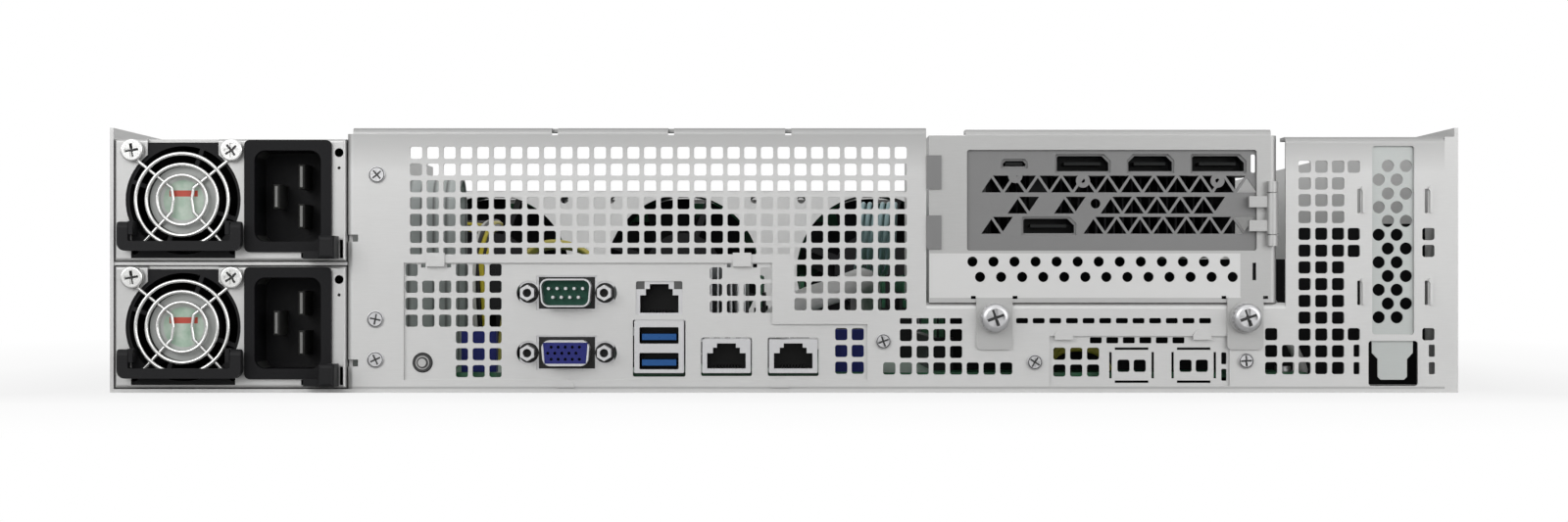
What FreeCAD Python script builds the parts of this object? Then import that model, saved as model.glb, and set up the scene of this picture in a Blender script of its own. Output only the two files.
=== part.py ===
import FreeCAD, Part
import math
import os

# 2U rack server with its top cover off, millimetres.
# +X is to the right when the rear is looked at, -Y is the rear, +Z is up.
# The origin is under the middle of the box that the whole server fills.

Vec = FreeCAD.Vector

# ---- clearances ----
FIT = 0.3            # between things that slide past each other or seat loosely
SNUG = 0.1           # round a part that passes through its own hole
RUN = 0.05           # radial, a shaft in its bearing or thread

# ---- chassis ----
WIDTH = 440.0        # outside of the side walls
HEIGHT = 86.5        # side walls, two rack units less the cover
DEPTH = 650.0        # rear face to front face
SHEET = 1.2          # chassis steel
COVER = 0.8          # loose covers and small plates
BEND = 2.0           # outside radius of a bend
RETURN = 4.4         # rear return of the right wall
LIP = 10.0           # depth of inward flanges
SCREW_R = 1.5        # M3
RAIL_R = 1.65        # tapped hole for a slide rail screw
RAIL_SPACING = 300.0
LATCH_REACH = 11.0   # supply latches behind the rear face
EAR_REACH = 30.0     # ear handles in front of the front face

REAR = LATCH_REACH - (DEPTH + LATCH_REACH + EAR_REACH) / 2
FRONT = REAR + DEPTH
LEFT = -WIDTH / 2 + SHEET
RIGHT = WIDTH / 2 - SHEET
FLOOR = SHEET
INNER = REAR + SHEET         # inner face of the rear panel
RAIL_Z = HEIGHT / 2

# ---- power supplies ----
SUPPLIES = 2
PSU_W = 75.6
PSU_L = 185.0
PSU_SKIN = 1.0
SHELF = 1.0
TOP_ROOM = 3.4
PSU_H = (HEIGHT - FLOOR - TOP_ROOM - 4 * FIT - SHELF) / 2
PSU_X0 = LEFT + FIT
PSU_X1 = PSU_X0 + PSU_W
BAY_X1 = PSU_X1 + FIT
TONGUE_L = 8.0       # edge contact of a supply
TONGUE_W = 44.0
TONGUE_T = 1.6
TONGUE_RISE = 6.0
PSU_FAN_L = 28.0
PSU_FAN_BORE = 35.4
PSU_HUB_R = 11.6
PSU_FAN_HOLE = 18.8  # round opening of the face over the fan
PSU_FAN_GAP = 11.6   # half of the open gap above it
PSU_FAN_NOTCH = 17.0         # half of the notch below it
PSU_FAN_X = PSU_X0 + 22.4
GUARD_RINGS = (15.1, 11.6, 8.1)
WIRE = 1.2
GUARD_SCREW = 16.2   # screw offset from the fan axis
GUARD_HEAD_R = 3.7
INLET_W = 28.4
INLET_H = 36.6
INLET_RIM = 1.6      # flange past the body
INLET_X = PSU_X0 + 56.8
INLET_LIFT = 1.3     # above the fan axis
INLET_DEPTH = 20.0
RECESS_W = 21.7
RECESS_H = 29.8
BLADE_W = 8.0
BLADE_T = 2.0
LINE_PITCH = 13.0    # between the two line blades
EARTH_OFFSET = 8.2
LATCH_TRAVEL = 2.0
LATCH_X = PSU_X1 - 8.9
LATCH_ARM_T = 1.2
LATCH_HALF = 6.8     # from its arm to the thumb tab's right side
BAIL_W = 40.2        # supply handle, outside
BAIL_LEG = 3.5
BAIL_T = 4.0
BAIL_BAR = 3.2
BAIL_TOP = 7.1       # leg tops below the fan axis
BAIL_LOW = 16.6      # bar's underside below the fan axis
BAIL_GAP = 2.5       # between the face and the handle
BAIL_PIN_R = 1.2

# ---- rear panel ----
MAIN_W = 189.0       # from the supply bay to the riser opening
RISER_W = 117.3      # riser opening
RISER_X0 = BAY_X1 + MAIN_W
RISER_X1 = RISER_X0 + RISER_W
STRIP_Z = 29.4       # top of the low strip under the riser
SIDE_TOP = HEIGHT - 2.9
VENT = 4.0
VENT_R = 0.8
VENT_X = 5.455
VENT_Z = 5.5
FLUSH_SCREWS = ((BAY_X1 + 9.8, 71.2), (BAY_X1 + 9.3, 24.0), (BAY_X1 + 9.3, 10.8))
PAN_SCREWS = ((RISER_X0 - 14.0, 16.8), (RISER_X0 + 35.4, 10.0), (RISER_X0 + 104.3, 10.4))

# ---- input and output aperture, its plate and ports ----
IO_X0 = BAY_X1 + 18.5
IO_X1 = IO_X0 + 151.3
IO_STEP_X = IO_X0 + 120.3
IO_Z0 = 4.2
IO_STEP_Z = 22.4
IO_Z1 = 42.4
IO_EDGE = 3.0
IO_TAB_X = (IO_X0 + 10.4, IO_X0 + 110.4)
IO_TAB_W = 6.0
IO_TAB_H = 3.3
PORT_X = BAY_X1 + 71.6       # serial and display ports
SERIAL_Z = 32.6
VGA_Z = 13.0
PORT_OPEN = (19.8, 11.2)     # plate opening over a D connector
POST_OPEN_R = 3.9
POST_X = 12.5                # jack post from the middle
POST_R = 2.6
POST_BORE_R = 1.4
SHELL_REACH = 5.0            # D shell behind the rear face
PIN_STEP = 2.77
JACK_X = BAY_X1 + 101.8      # stacked LAN and USB jack
JACK_W = 15.8
JACK_L = 21.0
JACK_DEEP = 13.0
JACK_STEP = 0.4      # jack faces inside the rear face
JACK_SPLIT = 23.6            # LAN above, USB below
JACK_TOP = 36.8
LAN_X = (BAY_X1 + 123.8, BAY_X1 + 145.6)
LAN_Z = 11.5
LAN_TOP = 17.4
UPPER_LAN_Z = 30.2
USB_Z = (10.3, 18.7)
USB_W = 12.8
USB_H = 5.4
BUTTON_X = IO_X0 + 6.0
BUTTON_Z = 9.8
BUTTON_R = 1.7
BUTTON_HOLE_R = 3.3

# ---- network blank, right section and slot ----
BLANK_X0 = RISER_X0 + 40.2
BLANK_W = 58.8
BLANK_Z0 = 2.2
BLANK_H = 16.3
BLANK_TAB = (4.7, 49.8)
SLOT_X = WIDTH / 2 - 21.2
SLOT_OPEN_W = 13.7
SLOT_Z0 = 19.0
TONGUE_OPEN_W = 16.1
TONGUE_OPEN_Z0 = 2.2
TONGUE_OPEN_Z1 = 16.9
CLIP_X = (SLOT_X - 10.1, SLOT_X + 11.9)
CLIP_Z = (33.0, 63.0)

# ---- riser, its thumb screws and clamp ----
CAGE_X0 = RISER_X0 + 0.9
CAGE_X1 = RISER_X1 - 2.8
CAGE_TOP = HEIGHT - 0.5
CARD_OPEN_X = CAGE_X0 + 12.4
CARD_OPEN_W = 94.6
CARD_OPEN_Z0 = STRIP_Z + 17.0
CARD_OPEN_H = 32.9
THUMB_X = (RISER_X0 + 22.2, RISER_X0 + 104.0)
THUMB_Z = 24.5
THUMB_R = 4.7
THUMB_H = 5.0
THUMB_FLUTES = 20
TAB_W = 11.8
TAB_Z0 = 14.1
RING_R = 5.2
RING_T = 1.0
HINGE_X = CAGE_X1 - 1.9
HINGE_R = 1.9
HINGE_PIN_R = 0.9
CLAMP_Z = 58.4
CLAMP_H = 14.0
HOOK_H = 3.6
HOOK_X = HINGE_X - 7.6
KNUCKLE_H = 3.5
RISER_L = 172.0
PCB_T = 1.6
RISER_CARD_X = RISER_X0 + 7.0
GPU_Z = CARD_OPEN_Z0 + CARD_OPEN_H - 0.6
GPU_L = 166.0
GPU_X0 = RISER_CARD_X + 4.0
GPU_X1 = CAGE_X1 - 9.0
GPU_H = 33.0
MESH_PITCH = 7.6             # triangular vents of the card bracket
MESH_W = 6.5
MESH_H = 4.8
MESH_LEAN = 0.35
PAD_R = 2.3

# ---- system board ----
BOARD_Z = 4.8
BOARD_T = 1.6
BOARD_W = 305.0
BOARD_L = 330.0
BOARD_X0 = BAY_X1 + 9.5
BOARD_Y0 = REAR + 6.0
BOARD_TOP = BOARD_Z + BOARD_T
STANDOFF_R = 2.8
CPU_X = (BOARD_X0 + BOARD_W / 2 - 72.0, BOARD_X0 + BOARD_W / 2 + 72.0)
CPU_Y = BOARD_Y0 + 252.0
SINK_W = 74.0
SINK_L = 100.0
SINK_H = 34.0
SINK_BASE = 6.0
SINK_FINS = 28
FIN_T = 0.6
SOCKET_H = 6.0
DIMM_STEP = 8.5
DIMM_GAP = 6.0
DIMM_L = 133.0
DIMM_H = 31.0
DIMM_SLOT_H = 7.0
DIMM_Y = BOARD_Y0 + 255.0
DIMM_T = 1.4
POWER_PLUG_X = BOARD_X0 + 15.0
POWER_PLUG_Y = BOARD_Y0 + 150.0
CABLE_R = 3.5
CABLE_X0 = BAY_X1 - 30.0
CABLE_Y0 = REAR + PSU_L + TONGUE_L + 15.0
CABLE_Z = 60.0
CABLE_POINTS = ((CABLE_X0, CABLE_Y0, CABLE_Z), (CABLE_X0, REAR + 230.0, CABLE_Z),
                (CABLE_X0 + 16, REAR + 246.0, CABLE_Z), (POWER_PLUG_X - 16, REAR + 246.0, CABLE_Z),
                (POWER_PLUG_X, REAR + 230.0, CABLE_Z), (POWER_PLUG_X, REAR + 192.0, CABLE_Z - 1.0),
                (POWER_PLUG_X, REAR + 168.0, 50.0), (POWER_PLUG_X, POWER_PLUG_Y, 30.0),
                (POWER_PLUG_X, POWER_PLUG_Y, BOARD_TOP + 9.0))

# ---- fans ----
FAN = 80.0
FAN_L = 38.0
FAN_BORE = 76.0
FAN_PITCH = 94.6
FANS = 4
FAN_HUB_R = 19.0
FAN_MOUNT = 35.7
FAN_WALL_Y = REAR + 445.0
FAN_MID_X = -3.0
FAN_Z = FLOOR + SHEET + FIT + FAN / 2
FAN_WALL_TOP = FAN_Z + FAN / 2
SHAFT_R = 1.5
BLADES = 7
BLADE_PITCH = 38

# ---- drives and front ----
BAYS = 4
CAGE_L = 150.0
CAGE_H = 30.0
CAGE_Y = FRONT - CAGE_L
CAGE_T = 1.0
CARRIER_FACE = 8.0
DRIVE_W = 101.6
DRIVE_L = 130.0
DRIVE_H = 20.0
BAY_PITCH = (RIGHT - LEFT) / BAYS
CARRIER_W = BAY_PITCH - CAGE_T - 2 * FIT
CARRIER_Z0 = FLOOR + CAGE_T + FIT
CARRIER_H = CAGE_H - 2 * CAGE_T - 2 * FIT - FLOOR
BACKPLANE_Y = CAGE_Y - 6.0
BACKPLANE_TOP = 78.0
POWER_R = 4.0
POWER_X = WIDTH / 2 - 30.0
POWER_Z = HEIGHT - 12.0

# ---- rack ears ----
EAR_SPAN = 482.6
EIA_SPAN = 465.1
EIA_RISE = 76.2
EAR_T = 2.0
SLOT_L = 10.0
SLOT_W = 6.8


# ================= helpers =================

def box(x0, x1, y0, y1, z0, z1):
    return Part.makeBox(x1 - x0, y1 - y0, z1 - z0, Vec(x0, y0, z0))


def poly(points):
    corners = [Vec(a, b, 0) for a, b in points]
    return Part.makePolygon(corners + corners[:1])


def disc(a, b, radius):
    return Part.Wire(Part.makeCircle(radius, Vec(a, b, 0)))


def rounded(points, r):
    """Closed outline through the points, each corner an arc of radius r."""
    ends = []
    count = len(points)
    for i in range(count):
        before, corner, after = (Vec(*points[(i + k) % count], 0) for k in (-1, 0, 1))
        back = (before - corner).normalize()
        on = (after - corner).normalize()
        half = back.getAngle(on) / 2
        reach = r / math.tan(half)
        bulge = corner + (back + on).normalize() * (r / math.sin(half) - r)
        ends.append((corner + back * reach, bulge, corner + on * reach))
    edges = []
    for i, (first, middle, last) in enumerate(ends):
        edges.append(Part.Arc(first, middle, last).toShape())
        after = ends[(i + 1) % count][0]
        if (after - last).Length > 1e-6:
            edges.append(Part.LineSegment(last, after).toShape())
    return Part.Wire(edges)


def rect(a, b, w, h, r=0.0):
    """Closed rectangle about (a, b), its corners rounded to r."""
    w, h = w / 2, h / 2
    corners = [(a - w, b - h), (a + w, b - h), (a + w, b + h), (a - w, b + h)]
    return rounded(corners, r) if r > 0 else poly(corners)


def slab(outer, holes, thick):
    face = Part.makeFace([outer] + holes, "Part::FaceMakerBullseye")
    return face.extrude(Vec(0, 0, thick))


def plate_xz(outer, holes, y, thick):
    """Plate seen from the rear: drawn in X and Z, from y to y + thick."""
    plate = slab(outer, holes, thick)
    plate.rotate(Vec(), Vec(1, 0, 0), 90)
    plate.translate(Vec(0, y + thick, 0))
    return plate


def plate_xy(outer, holes, z, thick):
    plate = slab(outer, holes, thick)
    plate.translate(Vec(0, 0, z))
    return plate


def plate_yz(outer, holes, x, thick):
    plate = slab(outer, holes, thick)
    plate.rotate(Vec(), Vec(1, 1, 1), 120)
    plate.translate(Vec(x, 0, 0))
    return plate


def rod(start, direction, radius, length):
    return Part.makeCylinder(radius, length, start, direction)


def tube(start, direction, outer, inner, length):
    return rod(start, direction, outer, length).cut(rod(start, direction, inner, length))


def fuse(shapes):
    return shapes[0].multiFuse(shapes[1:]).removeSplitter()


def bent_flange(corner, along, inward, run, depth, thick=SHEET):
    """A rounded bend and its flange; corner is the sharp outer corner."""
    def at(a, b):
        return corner + along * a + inward * b
    small = BEND - thick
    k = math.sqrt(0.5)
    edges = [Part.Arc(at(BEND, 0), at(BEND - BEND * k, BEND - BEND * k), at(0, BEND)).toShape(),
             Part.makeLine(at(0, BEND), at(0, depth)),
             Part.makeLine(at(0, depth), at(thick, depth)),
             Part.makeLine(at(thick, depth), at(thick, BEND)),
             Part.Arc(at(thick, BEND), at(BEND - small * k, BEND - small * k), at(BEND, thick)).toShape(),
             Part.makeLine(at(BEND, thick), at(BEND, 0))]
    return Part.Face(Part.Wire(edges)).extrude(run)


def grid(a0, b0, columns, rows, pitch_a=VENT_X, pitch_b=VENT_Z):
    """Centres of a grid that starts at its top left and runs right and down."""
    return [(a0 + i * pitch_a, b0 - j * pitch_b) for j in range(rows) for i in range(columns)]


def vents(centres, w=VENT, h=VENT, r=VENT_R):
    return [rect(a, b, w, h, r) for a, b in centres]


def screw(x, y, z, head_r, head_h, shank, shank_r=SCREW_R, recess=1.0):
    """Pan head with a cross recess, seated on y and driven along +Y."""
    head = rod(Vec(x, y - head_h, z), Vec(0, 1, 0), head_r, head_h)
    head = head.makeFillet(head_h * 0.35, [head.Edges[i] for i in range(len(head.Edges))
                                           if abs(head.Edges[i].BoundBox.YMax - (y - head_h)) < 1e-6
                                           and abs(head.Edges[i].BoundBox.YMin - (y - head_h)) < 1e-6])
    arm = head_r * 0.62
    half = head_r * 0.13
    cross = box(x - arm, x + arm, y - head_h - 1, y - head_h + recess, z - half, z + half)
    cross = cross.fuse(box(x - half, x + half, y - head_h - 1, y - head_h + recess, z - arm, z + arm))
    return fuse([head.cut(cross), rod(Vec(x, y, z), Vec(0, 1, 0), shank_r, shank)])


def rotor(x, y, z, hub_r, tip_r, length, blades, pitch):
    """Fan rotor about an axis along Y, its hub cup and shaft included."""
    hub = rod(Vec(x, y, z), Vec(0, 1, 0), hub_r, length)
    parts = [hub]
    chord = 2 * math.pi * hub_r / blades * 1.7
    bow = chord * 0.14
    for i in range(blades):
        first = Vec(0, 0, -chord / 2)
        last = Vec(0, 0, chord / 2)
        outer = Part.Arc(first, Vec(0, bow + 0.6, 0), last).toShape()
        inner = Part.Arc(last, Vec(0, bow - 0.6, 0), first).toShape()
        blade = Part.Face(Part.Wire([outer, inner])).extrude(Vec(tip_r, 0, 0))
        blade.rotate(Vec(), Vec(1, 0, 0), pitch)
        blade.translate(Vec(hub_r * 0.8, 0, 0))
        blade.rotate(Vec(), Vec(0, 1, 0), i * 360.0 / blades)
        blade.translate(Vec(x, y + length / 2, z))
        parts.append(blade)
    wheel = fuse(parts)
    return wheel.common(rod(Vec(x, y, z), Vec(0, 1, 0), tip_r, length))


def fan_frame(x, y, z, size, bore, length, hub_r, mount_r, inset):
    """Square fan housing, motor base and struts on its rear side."""
    holes = [disc(x, z, bore / 2)]
    for sx in (-1, 1):
        for sz in (-1, 1):
            holes.append(disc(x + sx * inset, z + sz * inset, mount_r))
    shell = plate_xz(rect(x, z, size, size, size * 0.06), holes, y, length)
    waist = length * 0.5
    ring = tube(Vec(x, y + (length - waist) / 2, z), Vec(0, 1, 0), size * 0.75, size / 2 + 0.6, waist)
    shell = shell.cut(ring)
    base_t = length * 0.12
    base = tube(Vec(x, y, z), Vec(0, 1, 0), hub_r, SHAFT_R + RUN, base_t)
    struts = []
    for i in range(4):
        strut = box(hub_r - 0.5, bore / 2 + 0.5, 0, base_t, -size * 0.018, size * 0.018)
        strut.rotate(Vec(), Vec(0, 1, 0), 20 + 90 * i)
        strut.translate(Vec(x, y, z))
        struts.append(strut)
    return fuse([shell, base] + struts)


def fan_rotor(x, y, z, bore, length, hub_r, gap, blades, pitch):
    """Rotor that runs in a fan_frame of the same length."""
    start = y + length * 0.12 + 0.5
    body = rotor(x, start, z, hub_r, bore / 2 - gap, length * 0.88 - 1.5, blades, pitch)
    shaft = rod(Vec(x, y + 0.2, z), Vec(0, 1, 0), SHAFT_R, length * 0.12 + 1.0)
    return fuse([body, shaft])


def save(name, solids):
    pieces = []
    for shape in solids:
        pieces += shape.Solids
    result = pieces[0] if len(pieces) == 1 else Part.makeCompound(pieces)
    bad = [p for p in pieces if not p.isValid() or p.Volume <= 0]
    print(name, len(pieces), "solids", "BAD" if bad else "ok", round(result.Volume, 1))
    result.exportStep("parts/" + name + ".step")


# ================= chassis =================

def board_holes():
    """Board screw positions as (x, y)."""
    columns = (5.0, BOARD_W / 2, BOARD_W - 5.0)
    rows = (16.0, 130.0, 180.0, BOARD_L - 8.0)
    return [(BOARD_X0 + a, BOARD_Y0 + b) for a in columns for b in rows]


def chassis_tray():
    rail = [disc((REAR + FRONT) / 2 + s * RAIL_SPACING / 2, RAIL_Z, RAIL_R) for s in (-1, 1)]
    wall = rect((REAR + FRONT) / 2, HEIGHT / 2, DEPTH, HEIGHT)
    parts = [box(-WIDTH / 2, WIDTH / 2, REAR, FRONT, 0, FLOOR),
             plate_yz(wall, rail, -WIDTH / 2, SHEET),
             plate_yz(wall, rail, RIGHT, SHEET),
             box(WIDTH / 2 - RETURN, WIDTH / 2, REAR, INNER, 0, SIDE_TOP)]
    for x, y in board_holes():
        parts.append(tube(Vec(x, y, FLOOR), Vec(0, 0, 1), STANDOFF_R, SCREW_R + RUN, BOARD_Z - FLOOR))
    return fuse(parts)


def io_outline(grow=0.0):
    return poly([(IO_X0 - grow, IO_Z0 - grow), (IO_X1 + grow, IO_Z0 - grow),
                 (IO_X1 + grow, IO_STEP_Z + grow), (IO_STEP_X + grow, IO_STEP_Z + grow),
                 (IO_STEP_X + grow, IO_Z1 + grow), (IO_X0 - grow, IO_Z1 + grow)])


def rear_vents():
    """Every vent of the rear panel."""
    right = RISER_X0 - 8.3
    top = HEIGHT - 8.1
    first = right - 29 * VENT_X
    cuts = vents(grid(first, top, 30, 6))
    half_z = top - 5 * VENT_Z - 4.6
    cuts += vents([(first + i * VENT_X, half_z) for i in range(23)], VENT, 2.2, 0.5)
    cuts += vents(grid(right - 6 * VENT_X, top - 6 * VENT_Z, 7, 4))
    low = RISER_X0 - 6.6
    cuts += vents(grid(low, 18.8, 4, 2))
    cuts += vents([(low + i * VENT_X, 23.4) for i in range(4)], VENT, 1.9, 0.4)
    cuts += vents([(low - VENT_X + i * VENT_X, 7.9) for i in range(8)])
    cuts += vents([(RISER_X0 + 31.3 + i * 5.43, 23.5) for i in range(12)], 3.9, 1.75, 0.5)
    cuts += vents([(RISER_X1 - 4.7, z) for z in (19.1, 13.6, 8.0)])
    cuts += vents([(RISER_X1 + 0.8, z) for z in (13.6, 8.0)])
    column = RISER_X1 + 6.2
    top = SIDE_TOP - 9.8
    cuts += vents(grid(column, top, 3, 13, VENT_X, 5.48))
    fourth = column + 3 * VENT_X - 0.3
    far = SLOT_X + 11.5
    cuts += vents([(fourth, z) for z in (top, top - 22.0, top - 27.5, 19.1)])
    cuts += vents([(far, z) for z in (top - 22.0, top - 27.5, 19.1)])
    cuts += vents([(fourth + 0.9, z) for z in (13.7, 8.0)], 2.0, VENT, 0.5)
    cuts += vents([(far + 1.1, z) for z in (13.7, 8.0)], 2.0, VENT, 0.5)
    return cuts


def rear_panel():
    x0 = BAY_X1 + BEND
    x1 = WIDTH / 2 - RETURN
    top = HEIGHT - BEND
    side = SIDE_TOP - BEND
    strip = STRIP_Z - BEND
    outline = poly([(x0, FLOOR), (x1, FLOOR), (x1, side), (RISER_X1, side), (RISER_X1, strip),
                    (RISER_X0, strip), (RISER_X0, top), (x0, top)])
    holes = rear_vents()
    holes.append(io_outline())
    holes.append(rect(BLANK_X0 + BLANK_W / 2, BLANK_Z0 + BLANK_H / 2, BLANK_W, BLANK_H))
    holes.append(rect(SLOT_X, (SLOT_Z0 + side - 1) / 2, SLOT_OPEN_W, side - 1 - SLOT_Z0, 1.0))
    holes.append(rect(SLOT_X, (TONGUE_OPEN_Z0 + TONGUE_OPEN_Z1) / 2, TONGUE_OPEN_W,
                      TONGUE_OPEN_Z1 - TONGUE_OPEN_Z0, 1.0))
    for x, z in FLUSH_SCREWS + PAN_SCREWS:
        holes.append(disc(x, z, SCREW_R + RUN))
    for x in THUMB_X:
        holes.append(disc(x, THUMB_Z, SCREW_R + RUN))
    holes += [rect(x - 1.1, z - 0.4, 1.0, 8.0, 0.4) for x in CLIP_X for z in CLIP_Z]
    sheet = plate_xz(outline, holes, REAR, SHEET)
    up, down = Vec(0, 0, 1), Vec(0, 0, -1)
    right, inward = Vec(1, 0, 0), Vec(0, 1, 0)
    bends = [bent_flange(Vec(BAY_X1, REAR, FLOOR), right, inward, up * (top - FLOOR), LIP),
             bent_flange(Vec(x0, REAR, HEIGHT), down, inward, right * (RISER_X0 - x0), LIP),
             bent_flange(Vec(RISER_X0, REAR, STRIP_Z), down, inward, right * RISER_W, LIP),
             bent_flange(Vec(RISER_X1, REAR, SIDE_TOP), down, inward, right * (x1 - RISER_X1), LIP)]
    relief = []
    for x in (x0 + 65.8, x0 + 103.7, x0 + 142.0):
        relief.append(box(x - 1, x + 1, REAR - 1, REAR + 5, HEIGHT - 2.4, HEIGHT + 1))
    for z in (50.5, 9.7):
        relief.append(box(BAY_X1 - 1, BAY_X1 + 3.6, REAR - 1, REAR + 4, z - 1.15, z + 1.15))
    lugs = []
    for x in (BAY_X1 + 71.2, BAY_X1 + 141.3):
        bump = rod(Vec(x, REAR - 0.6, FLOOR + 0.4), inward, 3.0, 0.6)
        lugs.append(bump.common(box(x - 4, x + 4, REAR - 1, REAR, FLOOR + 0.4, 9)))
    for x in CLIP_X:
        for z in CLIP_Z:
            lugs.append(box(x - 0.1, x + 0.9, REAR - 1.2, REAR, z - 4.2, z + 3.6))
            lugs.append(rod(Vec(x + 0.4, REAR - 1.2, z + 3.6), inward, 0.9, 1.2))
    return fuse([sheet] + bends + lugs).cut(Part.makeCompound(relief))


def io_plate_vents():
    x0 = IO_X0 + 2.4
    step = 5.48
    cuts = vents([(x0 + i * step, IO_Z1 - 2.3) for i in (0, 3, 4, 5)])
    cuts += vents(grid(x0, IO_Z1 - 7.8, 6, 3, step, 5.55))
    cuts += vents(grid(x0 + 3 * step, IO_Z0 + 13.9, 3, 3, step, 5.55))
    x1 = IO_STEP_X - 18.4
    cuts += vents([(x1, IO_Z1 - 3.4), (x1 + 16.4, IO_Z1 - 3.4)])
    cuts += vents(grid(x1, IO_Z1 - 8.8, 4, 2, 5.5, 5.55))
    cuts += vents(grid(x1 + 40.9, IO_Z0 + 14.9, 2, 3, 5.4, 5.5))
    return cuts


def io_plate():
    holes = io_plate_vents()
    for x in IO_TAB_X:
        for side in (-1, 1):
            holes.append(rect(x + side * 4.2, IO_Z1 - 0.9, 1.4, 1.2))
    holes.append(disc(BUTTON_X, BUTTON_Z, BUTTON_HOLE_R))
    usb_z0 = BOARD_TOP - 1.2
    usb_z1 = JACK_SPLIT + 0.2
    holes.append(rect(JACK_X, (usb_z0 + usb_z1) / 2, 17.2, usb_z1 - usb_z0, 0.6))
    holes.append(rect(JACK_X, UPPER_LAN_Z + 0.7, 15.2, 11.0, 0.6))
    for x in LAN_X:
        holes.append(rect(x, (BOARD_TOP + LAN_TOP) / 2 - 0.2, 16.6, 12.6, 0.6))
    plate = plate_xz(io_outline(IO_EDGE - 0.4), holes, INNER, COVER)
    openings = []
    wide, high = PORT_OPEN
    for z in (SERIAL_Z, VGA_Z):
        openings.append(box(PORT_X - wide / 2, PORT_X + wide / 2, REAR, INNER + 2,
                            z - high / 2, z + high / 2))
        for side in (-1, 1):
            openings.append(rod(Vec(PORT_X + side * POST_X, REAR, z), Vec(0, 1, 0), POST_OPEN_R, SHEET + 2))
    plate = plate.cut(Part.makeCompound(openings))
    tabs = []
    for x in IO_TAB_X:
        half = IO_TAB_W / 2
        tabs.append(box(x - half, x + half, REAR - COVER, INNER, IO_Z1 - 1.2, IO_Z1 - SNUG))
        tabs.append(box(x - half, x + half, REAR - COVER, REAR, IO_Z1 - 1.2, IO_Z1 + IO_TAB_H))
    return fuse([plate] + tabs)


def network_blank():
    x1 = BLANK_X0 + BLANK_W
    mid = BLANK_Z0 + BLANK_H / 2
    holes = vents([(BLANK_X0 + 15.3 + i * 5.4, BLANK_Z0 + BLANK_H - 1.4) for i in range(6)], 3.9, 2.0, 0.4)
    holes += vents(grid(BLANK_X0 + 3.4, BLANK_Z0 + 10.5, 3, 2, 5.5, 5.5))
    for centre in (BLANK_X0 + 27.0, BLANK_X0 + 47.3):
        holes += vents([(centre + s * 2.65, mid - 1.6) for s in (-1, 1)])
        for side in (-1, 1):
            holes.append(rect(centre + side * 6.9, mid - 1.4, 0.8, 8.6))
            holes.append(rect(centre, mid - 1.4 + side * 5.4, 11.0, 0.8))
    holes += vents([(x1 - 1.65, BLANK_Z0 + 9.0), (x1 - 1.65, BLANK_Z0 + 3.6)], 1.7, 3.9, 0.4)
    plate = plate_xz(rect((BLANK_X0 + x1) / 2, mid, BLANK_W + 4, BLANK_H + 1.8), holes, INNER, COVER)
    tabs = []
    top = BLANK_Z0 + BLANK_H
    for offset in BLANK_TAB:
        x = BLANK_X0 + offset
        root = box(x - 2, x + 2, REAR - COVER, INNER, top - 1.2, top - SNUG)
        moon = rod(Vec(x, REAR - COVER, top - 0.6), Vec(0, 1, 0), 3.0, COVER)
        tabs += [root, moon.common(box(x - 4, x + 4, REAR - 2, REAR, top - 1.2, top + 5))]
    return fuse([plate] + tabs)


def slot_cover():
    """Low-profile slot cover: perforated strip, top foot and narrow tongue."""
    half = SLOT_OPEN_W / 2 + 2.1
    top = SIDE_TOP - BEND
    foot = IO_Z0
    holes = []
    for row in range(12):
        z = 24.6 + row * 4.5
        shift = 1.5 if row % 2 else -1.5
        holes += [disc(SLOT_X - 2.95 + shift, z, 2.0), disc(SLOT_X + 2.95 + shift, z, 2.0)]
    outline = poly([(SLOT_X - half, top), (SLOT_X - half, 17.6), (SLOT_X - 6.7, 16.9), (SLOT_X - 6.7, 13.0),
                    (SLOT_X - 4.8, 11.0), (SLOT_X - 4.8, foot + 1), (SLOT_X - 3.8, foot),
                    (SLOT_X + 3.8, foot), (SLOT_X + 4.8, foot + 1), (SLOT_X + 4.8, 11.0),
                    (SLOT_X + 6.7, 13.0), (SLOT_X + 6.7, 16.9), (SLOT_X + half, 17.6), (SLOT_X + half, top)])
    sheet = plate_xz(outline, holes, INNER, COVER)
    tab = box(SLOT_X - half, SLOT_X + half, INNER, REAR + LIP, top - COVER, top)
    return fuse([sheet, tab]).cut(rod(Vec(SLOT_X, REAR + 6.2, top - 2), Vec(0, 0, 1), SCREW_R + RUN, 4))


def psu_shelf_z():
    return FLOOR + 2 * FIT + PSU_H


def psu_cage():
    """Bay wall beside the supplies and the shelf between them."""
    z = psu_shelf_z()
    y0 = REAR + LIP + 0.5
    y1 = REAR + PSU_L + TONGUE_L + 8
    wall = box(BAY_X1, BAY_X1 + SHELF, y0, y1, FLOOR, HEIGHT - TOP_ROOM)
    shelf = box(LEFT, BAY_X1, REAR + 0.6, REAR + PSU_L - 12, z, z + SHELF)
    foot = box(BAY_X1, BAY_X1 + 7.0, y0 + 20, y1, FLOOR, FLOOR + SHELF)
    return fuse([wall, shelf, foot])


# ================= power supply =================

def psu_z(n):
    return FLOOR + FIT + n * (PSU_H + 2 * FIT + SHELF)


def psu_fan_z(n):
    return psu_z(n) + PSU_H / 2


def psu_inlet_z(n):
    return psu_fan_z(n) + INLET_LIFT


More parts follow.
